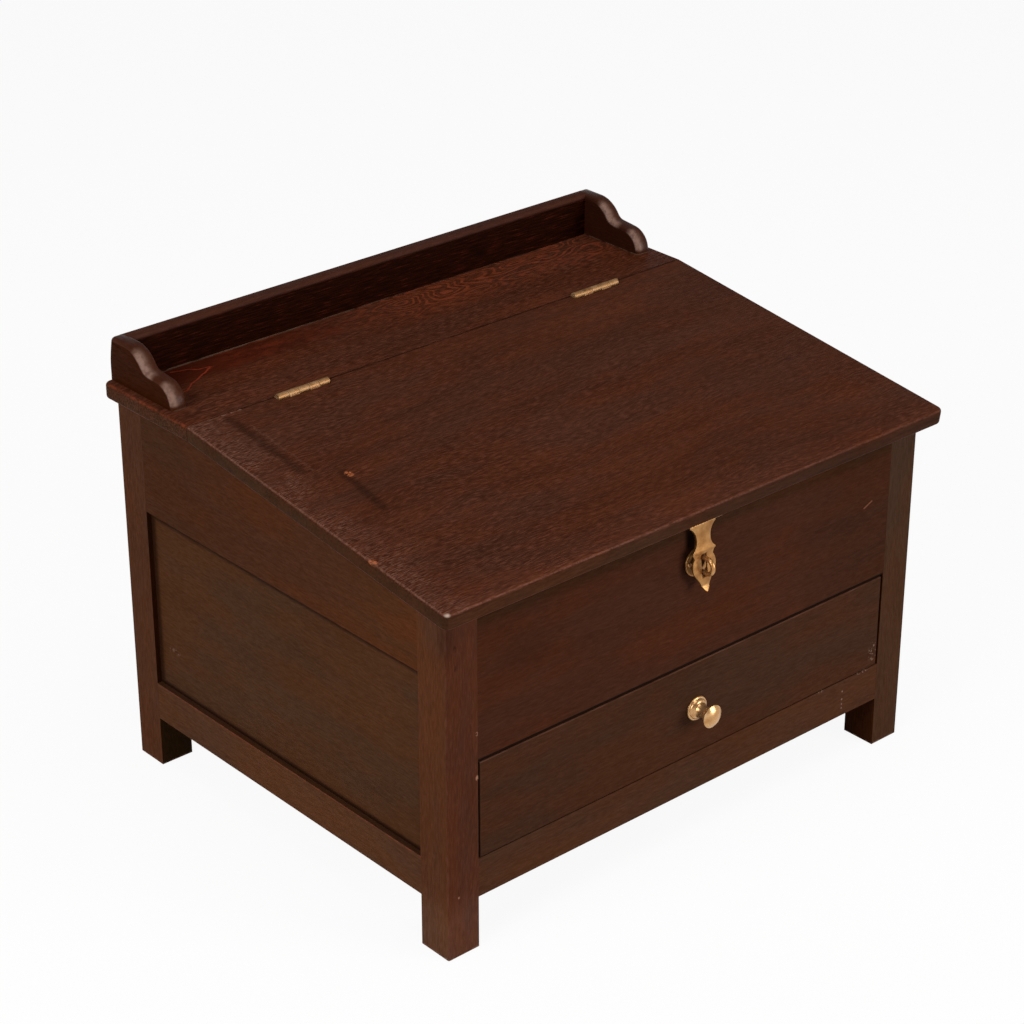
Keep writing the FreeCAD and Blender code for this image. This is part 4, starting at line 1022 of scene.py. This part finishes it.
def make_staple_plate(material):
    """The round plate with a softened rim."""
    low, high = corners("staple_plate")
    radius = (high.x - low.x) / 2
    profile = [(0, 0), (radius, 0), (radius, 0.5), (radius - 0.15, 0.8), (radius - 0.5, 0.95),
               (radius - 1.2, 1.0), (0, 1.0)]
    bm = lathe(profile, middle((low, high), FRONT_Y), (0, -1, 0), 56)
    finish(bm, "staple_rose", "staple_plate", "carcass", [material], 40)


def boxes_of(node):
    """The box of each separate solid of a node, in millimetres."""
    bm = bmesh.new()
    bm.from_mesh(frame["nodes"][node].data)
    bmesh.ops.remove_doubles(bm, verts=bm.verts, dist=1e-6)
    left = set(bm.verts)
    boxes = []
    while left:
        group, queue = [], [left.pop()]
        while queue:
            vertex = queue.pop()
            group.append(vertex.co / MM)
            linked = {edge.other_vert(vertex) for edge in vertex.link_edges} & left
            left -= linked
            queue += linked
        boxes.append([Vector([pick(values) for values in zip(*group)]) for pick in (min, max)])
    bm.free()
    return sorted(boxes, key=lambda box: (round(box[0].x, 3), round(box[0].z, 3)))


def make_head(name, centre, axis, radius, height, body, material, slotted=True):
    """A low domed head, with a slot across it where it is a screw's."""
    profile = [(0, -0.2), (radius, -0.2), (radius, 0.1 * height), (radius * 0.9, 0.5 * height),
               (radius * 0.6, 0.85 * height), (radius * 0.25, height), (0, height)]
    piece = finish(lathe(profile, centre, axis, 32), name, None, body, [material], 50)
    if slotted:
        half_width, floor = 0.3, 0.05
        across, along = Vector((half_width, 0, radius * 1.2)), Vector(axis)
        start = centre + along * floor
        subtract(piece, start - across, start + across + along * (height + 1))
        piece.data.set_sharp_from_angle(angle=math.radians(40))


def make_small_heads(material):
    """Heads of the hinge screws, of the knob's screw and of the pins in the staple's plate."""
    front, back = (0, -1, 0), (0, 1, 0)
    for i, box in enumerate(boxes_of("hinge_shelf_screws")):
        place = middle(box, box[0].y)
        make_head(f"hinge_shelf_screws_head_{i}", place, front, 2.0, 0.35, "carcass", material)
    for i, box in enumerate(boxes_of("hinge_lid_screws")):
        place = middle(box, box[1].y)
        make_head(f"hinge_lid_screws_head_{i}", place, back, 2.0, 0.35, "lid", material)
    for i, box in enumerate(boxes_of("staple_pins")):
        place = middle(box, FRONT_Y - 1.0)
        make_head(f"staple_pin_head_{i}", place, front, 1.5, 0.95, "carcass", material, slotted=False)
    box = corners("knob_screw")
    make_head("knob_screw_head", middle(box, box[1].y), back, 3.7, 0.8, "drawer", material)


# ---- Looks of the CAD nodes ----

BODY = dict(spread=0.24, pores=0.14, rough=0.5)
OPEN = dict(spread=0.44, pores=0.6, rough=0.46)
SHELF = dict(spread=0.52, pores=0.55, rough=0.44)
INSIDE = dict(spread=0.22, pores=0.25, rough=0.6)
HINGE_BRASS = dict(rough=0.5, soften=0.2, tone=(0.62, 0.61, 0.64))
FITTING_BRASS = dict(rough=0.42, soften=0.3, tone=(0.6, 0.55, 0.45))

TONES = {
    "lid_board": (66, 35, 22), "top_shelf": (69, 35, 21), "gallery_back": (62, 34, 24),
    "gallery_bracket": (50, 24, 13), "side_top_rail": (65, 35, 18),
    "side_panel": (65, 40, 23), "side_bottom_rail": (74, 45, 27),
    "leg_front_left": (69, 37, 23), "leg_front_right": (59, 38, 25),
    "leg_back": (70, 40, 23), "front_board": (60, 31, 18), "drawer_front": (58, 34, 21),
    "front_bottom_rail": (65, 39, 24), "back": (66, 39, 27), "inner_wood": (112, 78, 52),
    "panel_wood": (84, 54, 36),
}
TONES = {start: srgb(*parts) for start, parts in TONES.items()}
MARKS = {
    "leg_front_left": mark_leg_front_left, "leg_front_right": mark_leg_front_right,
    "leg_back_left": mark_leg_back_left, "leg_back_right": mark_foot, "front_bottom_rail": mark_front_rail,
    "side_top_rail": mark_side_top_rail, "drawer_front": mark_drawer_front,
    "side_bottom_rail": mark_side_bottom_rail, "side_panel": mark_side_panel, "front_board": mark_front_board,
}
PAIRS = ["side_top_rail", "side_bottom_rail", "side_panel", "drawer_side", "drawer_runner", "drawer_guide",
         "well_ledger"]
GRAIN = {
    "X": ["front_board", "front_bottom_rail", "back_top_rail", "back_bottom_rail", "back_panel",
          "drawer_front", "drawer_back", "drawer_bottom", "well_floor", "bottom_board", "drawer_stops"],
    "Y": [f"{name}_{side}" for name in PAIRS for side in SIDES],
    "Z": [f"{name}_{side}" for name in ("leg_front", "leg_back") for side in SIDES],
}


def by_start(table, name):
    """The entry under the longest key that a name starts with, or None."""
    keys = [key for key in table if name.startswith(key)]
    return table[max(keys, key=len)] if keys else None


def paint(node, material):
    for slot in frame["nodes"][node].material_slots:
        slot.material = material


def paint_wood():
    """A wood of its own for each wooden node."""
    nodes = [(along, name) for along, names in GRAIN.items() for name in names]
    for seed, (along, name) in enumerate(nodes, 1):
        hidden = SLOTS[name] == "inner_wood" or name in ("well_floor", "bottom_board")
        look = INSIDE if hidden else BODY
        tone = by_start(TONES, name) or TONES[SLOTS[name]]
        paint(name, wood("wood_" + name, along, seed, tone, marks=by_start(MARKS, name), **look))


def paint_brass():
    """A brass of its own for each brass node."""
    nodes = sorted(name for name in frame["nodes"] if SLOTS[name] == "brass")
    for seed, name in enumerate(nodes, 1):
        look = HINGE_BRASS if name.startswith("hinge") else FITTING_BRASS
        paint(name, brass("brass_" + name, seed, **look))


# ---- Stage, lights and camera, in metres ----

FLOOR_SIZE = 14
FLOOR_DROP = 0.0004
BOX_MIDDLE = Vector((0, 0, 0.18))


def make_floor():
    """A floor that looks white to the camera and in reflections, and is a light grey to all other light."""
    bpy.ops.mesh.primitive_plane_add(size=FLOOR_SIZE, location=(0, 0, -FLOOR_DROP))
    floor = bpy.context.object
    floor.name = "floor"
    g = Graph(bpy.data.materials.new("floor_white"))
    rays = g.node("LightPath").outputs
    seen = g.most(rays["Is Camera Ray"], rays["Is Glossy Ray"], rays["Is Transmission Ray"])
    matt = g.node("BsdfDiffuse", {0: (0.065, 0.065, 0.065, 1)}).outputs[0]
    glow = g.node("Emission", {0: (1, 1, 1, 1), 1: 0.92}).outputs[0]
    shown = g.node("AddShader", {0: matt, 1: glow}).outputs[0]
    bounce = g.node("BsdfDiffuse", {0: (0.7, 0.7, 0.7, 1)}).outputs[0]
    floor.data.materials.append(g.finish(g.node("MixShader", {0: seen, 1: bounce, 2: shown})))


def make_world():
    """Dim grey all round, and white where the camera or a low reflection looks past the floor."""
    g = Graph(bpy.data.worlds.new("studio"))
    rays = g.node("LightPath").outputs
    height = g.split(g.node("TexCoord").outputs["Generated"])[2]
    shiny = g.times(g.most(rays["Is Glossy Ray"], rays["Is Transmission Ray"]), g.span(height, 0.3, 0.1))
    strength = g.span(g.most(rays["Is Camera Ray"], shiny), 0.0, 1.0, 0.26, 0.97)
    bpy.context.scene.world = g.finish(g.node("Background", {"Color": (1, 1, 1, 1), "Strength": strength}))


def aim(made, target, azimuth, elevation, distance):
    """Puts a lamp or camera at a direction, in degrees, and distance from its target, facing it."""
    a, e = math.radians(azimuth), math.radians(elevation)
    back = Vector((math.sin(a) * math.cos(e), -math.cos(a) * math.cos(e), math.sin(e)))
    made.location = target + back * distance
    made.rotation_mode = "QUATERNION"
    made.rotation_quaternion = (-back).to_track_quat("-Z", "Y")


def softbox(name, azimuth, elevation, distance, size, energy):
    """A square lamp aimed at the middle of the box."""
    lamp = add_object(name, bpy.data.lights.new(name, "AREA"))
    lamp.data.shape = "SQUARE"
    lamp.data.size = size
    lamp.data.energy = energy
    aim(lamp, BOX_MIDDLE, azimuth, elevation, distance)


def make_camera():
    camera = add_object("camera", bpy.data.cameras.new("camera"))
    camera.data.sensor_width = SENSOR_WIDTH
    camera.data.lens = CAMERA_LENS
    camera.data.clip_start, camera.data.clip_end = 0.1, 50
    aim(camera, Vector(CAMERA_TARGET) * MM, CAMERA_AZIMUTH, CAMERA_ELEVATION, CAMERA_DISTANCE * MM)
    bpy.context.scene.camera = camera


# ---- The whole scene ----

paint_wood()
paint_brass()
make_lid(wood("wood_lid", "LID", 41, TONES["lid_board"], marks=mark_lid, zone=lid_zone, **OPEN))
make_shelf(wood("wood_shelf", "X", 42, TONES["top_shelf"], marks=mark_shelf, **SHELF))
make_gallery_board(wood("wood_gallery", "X", 43, TONES["gallery_back"], marks=mark_gallery_back, **BODY))
bracket_flat = wood("wood_bracket", "Y", 44, TONES["gallery_bracket"], marks=mark_bracket, **BODY)
bracket_glossy = wood("wood_bracket_rim", "Y", 45, srgb(54, 26, 14), 0.3, 0.2, 0.26, 0.06, mark_bracket)
for side in SIDES:
    make_bracket(side, bracket_flat, bracket_glossy)
small_brass = brass("brass_small", 31, 0.32, 0.15, (0.9, 0.86, 0.8))
make_knob(brass("brass_knob_turned", 32, 0.24, 0.3, (1.0, 1.05, 1.15)))
make_strap(brass("brass_strap", 34, 0.36, 0.2, (0.56, 0.5, 0.4), mark_slot))
make_staple(small_brass)
make_staple_plate(brass("brass_rose", 33, 0.4, 0.2, (0.7, 0.6, 0.45), mark_plate))
make_small_heads(small_brass)
make_floor()
make_world()
softbox("left", -82, 28, 2.2, 1.2, 32)
softbox("front", 26, 14, 2.2, 1.0, 31)
softbox("top", -20, 74, 2.0, 1.2, 13)
make_camera()
bpy.context.scene.view_settings.view_transform = "Standard"
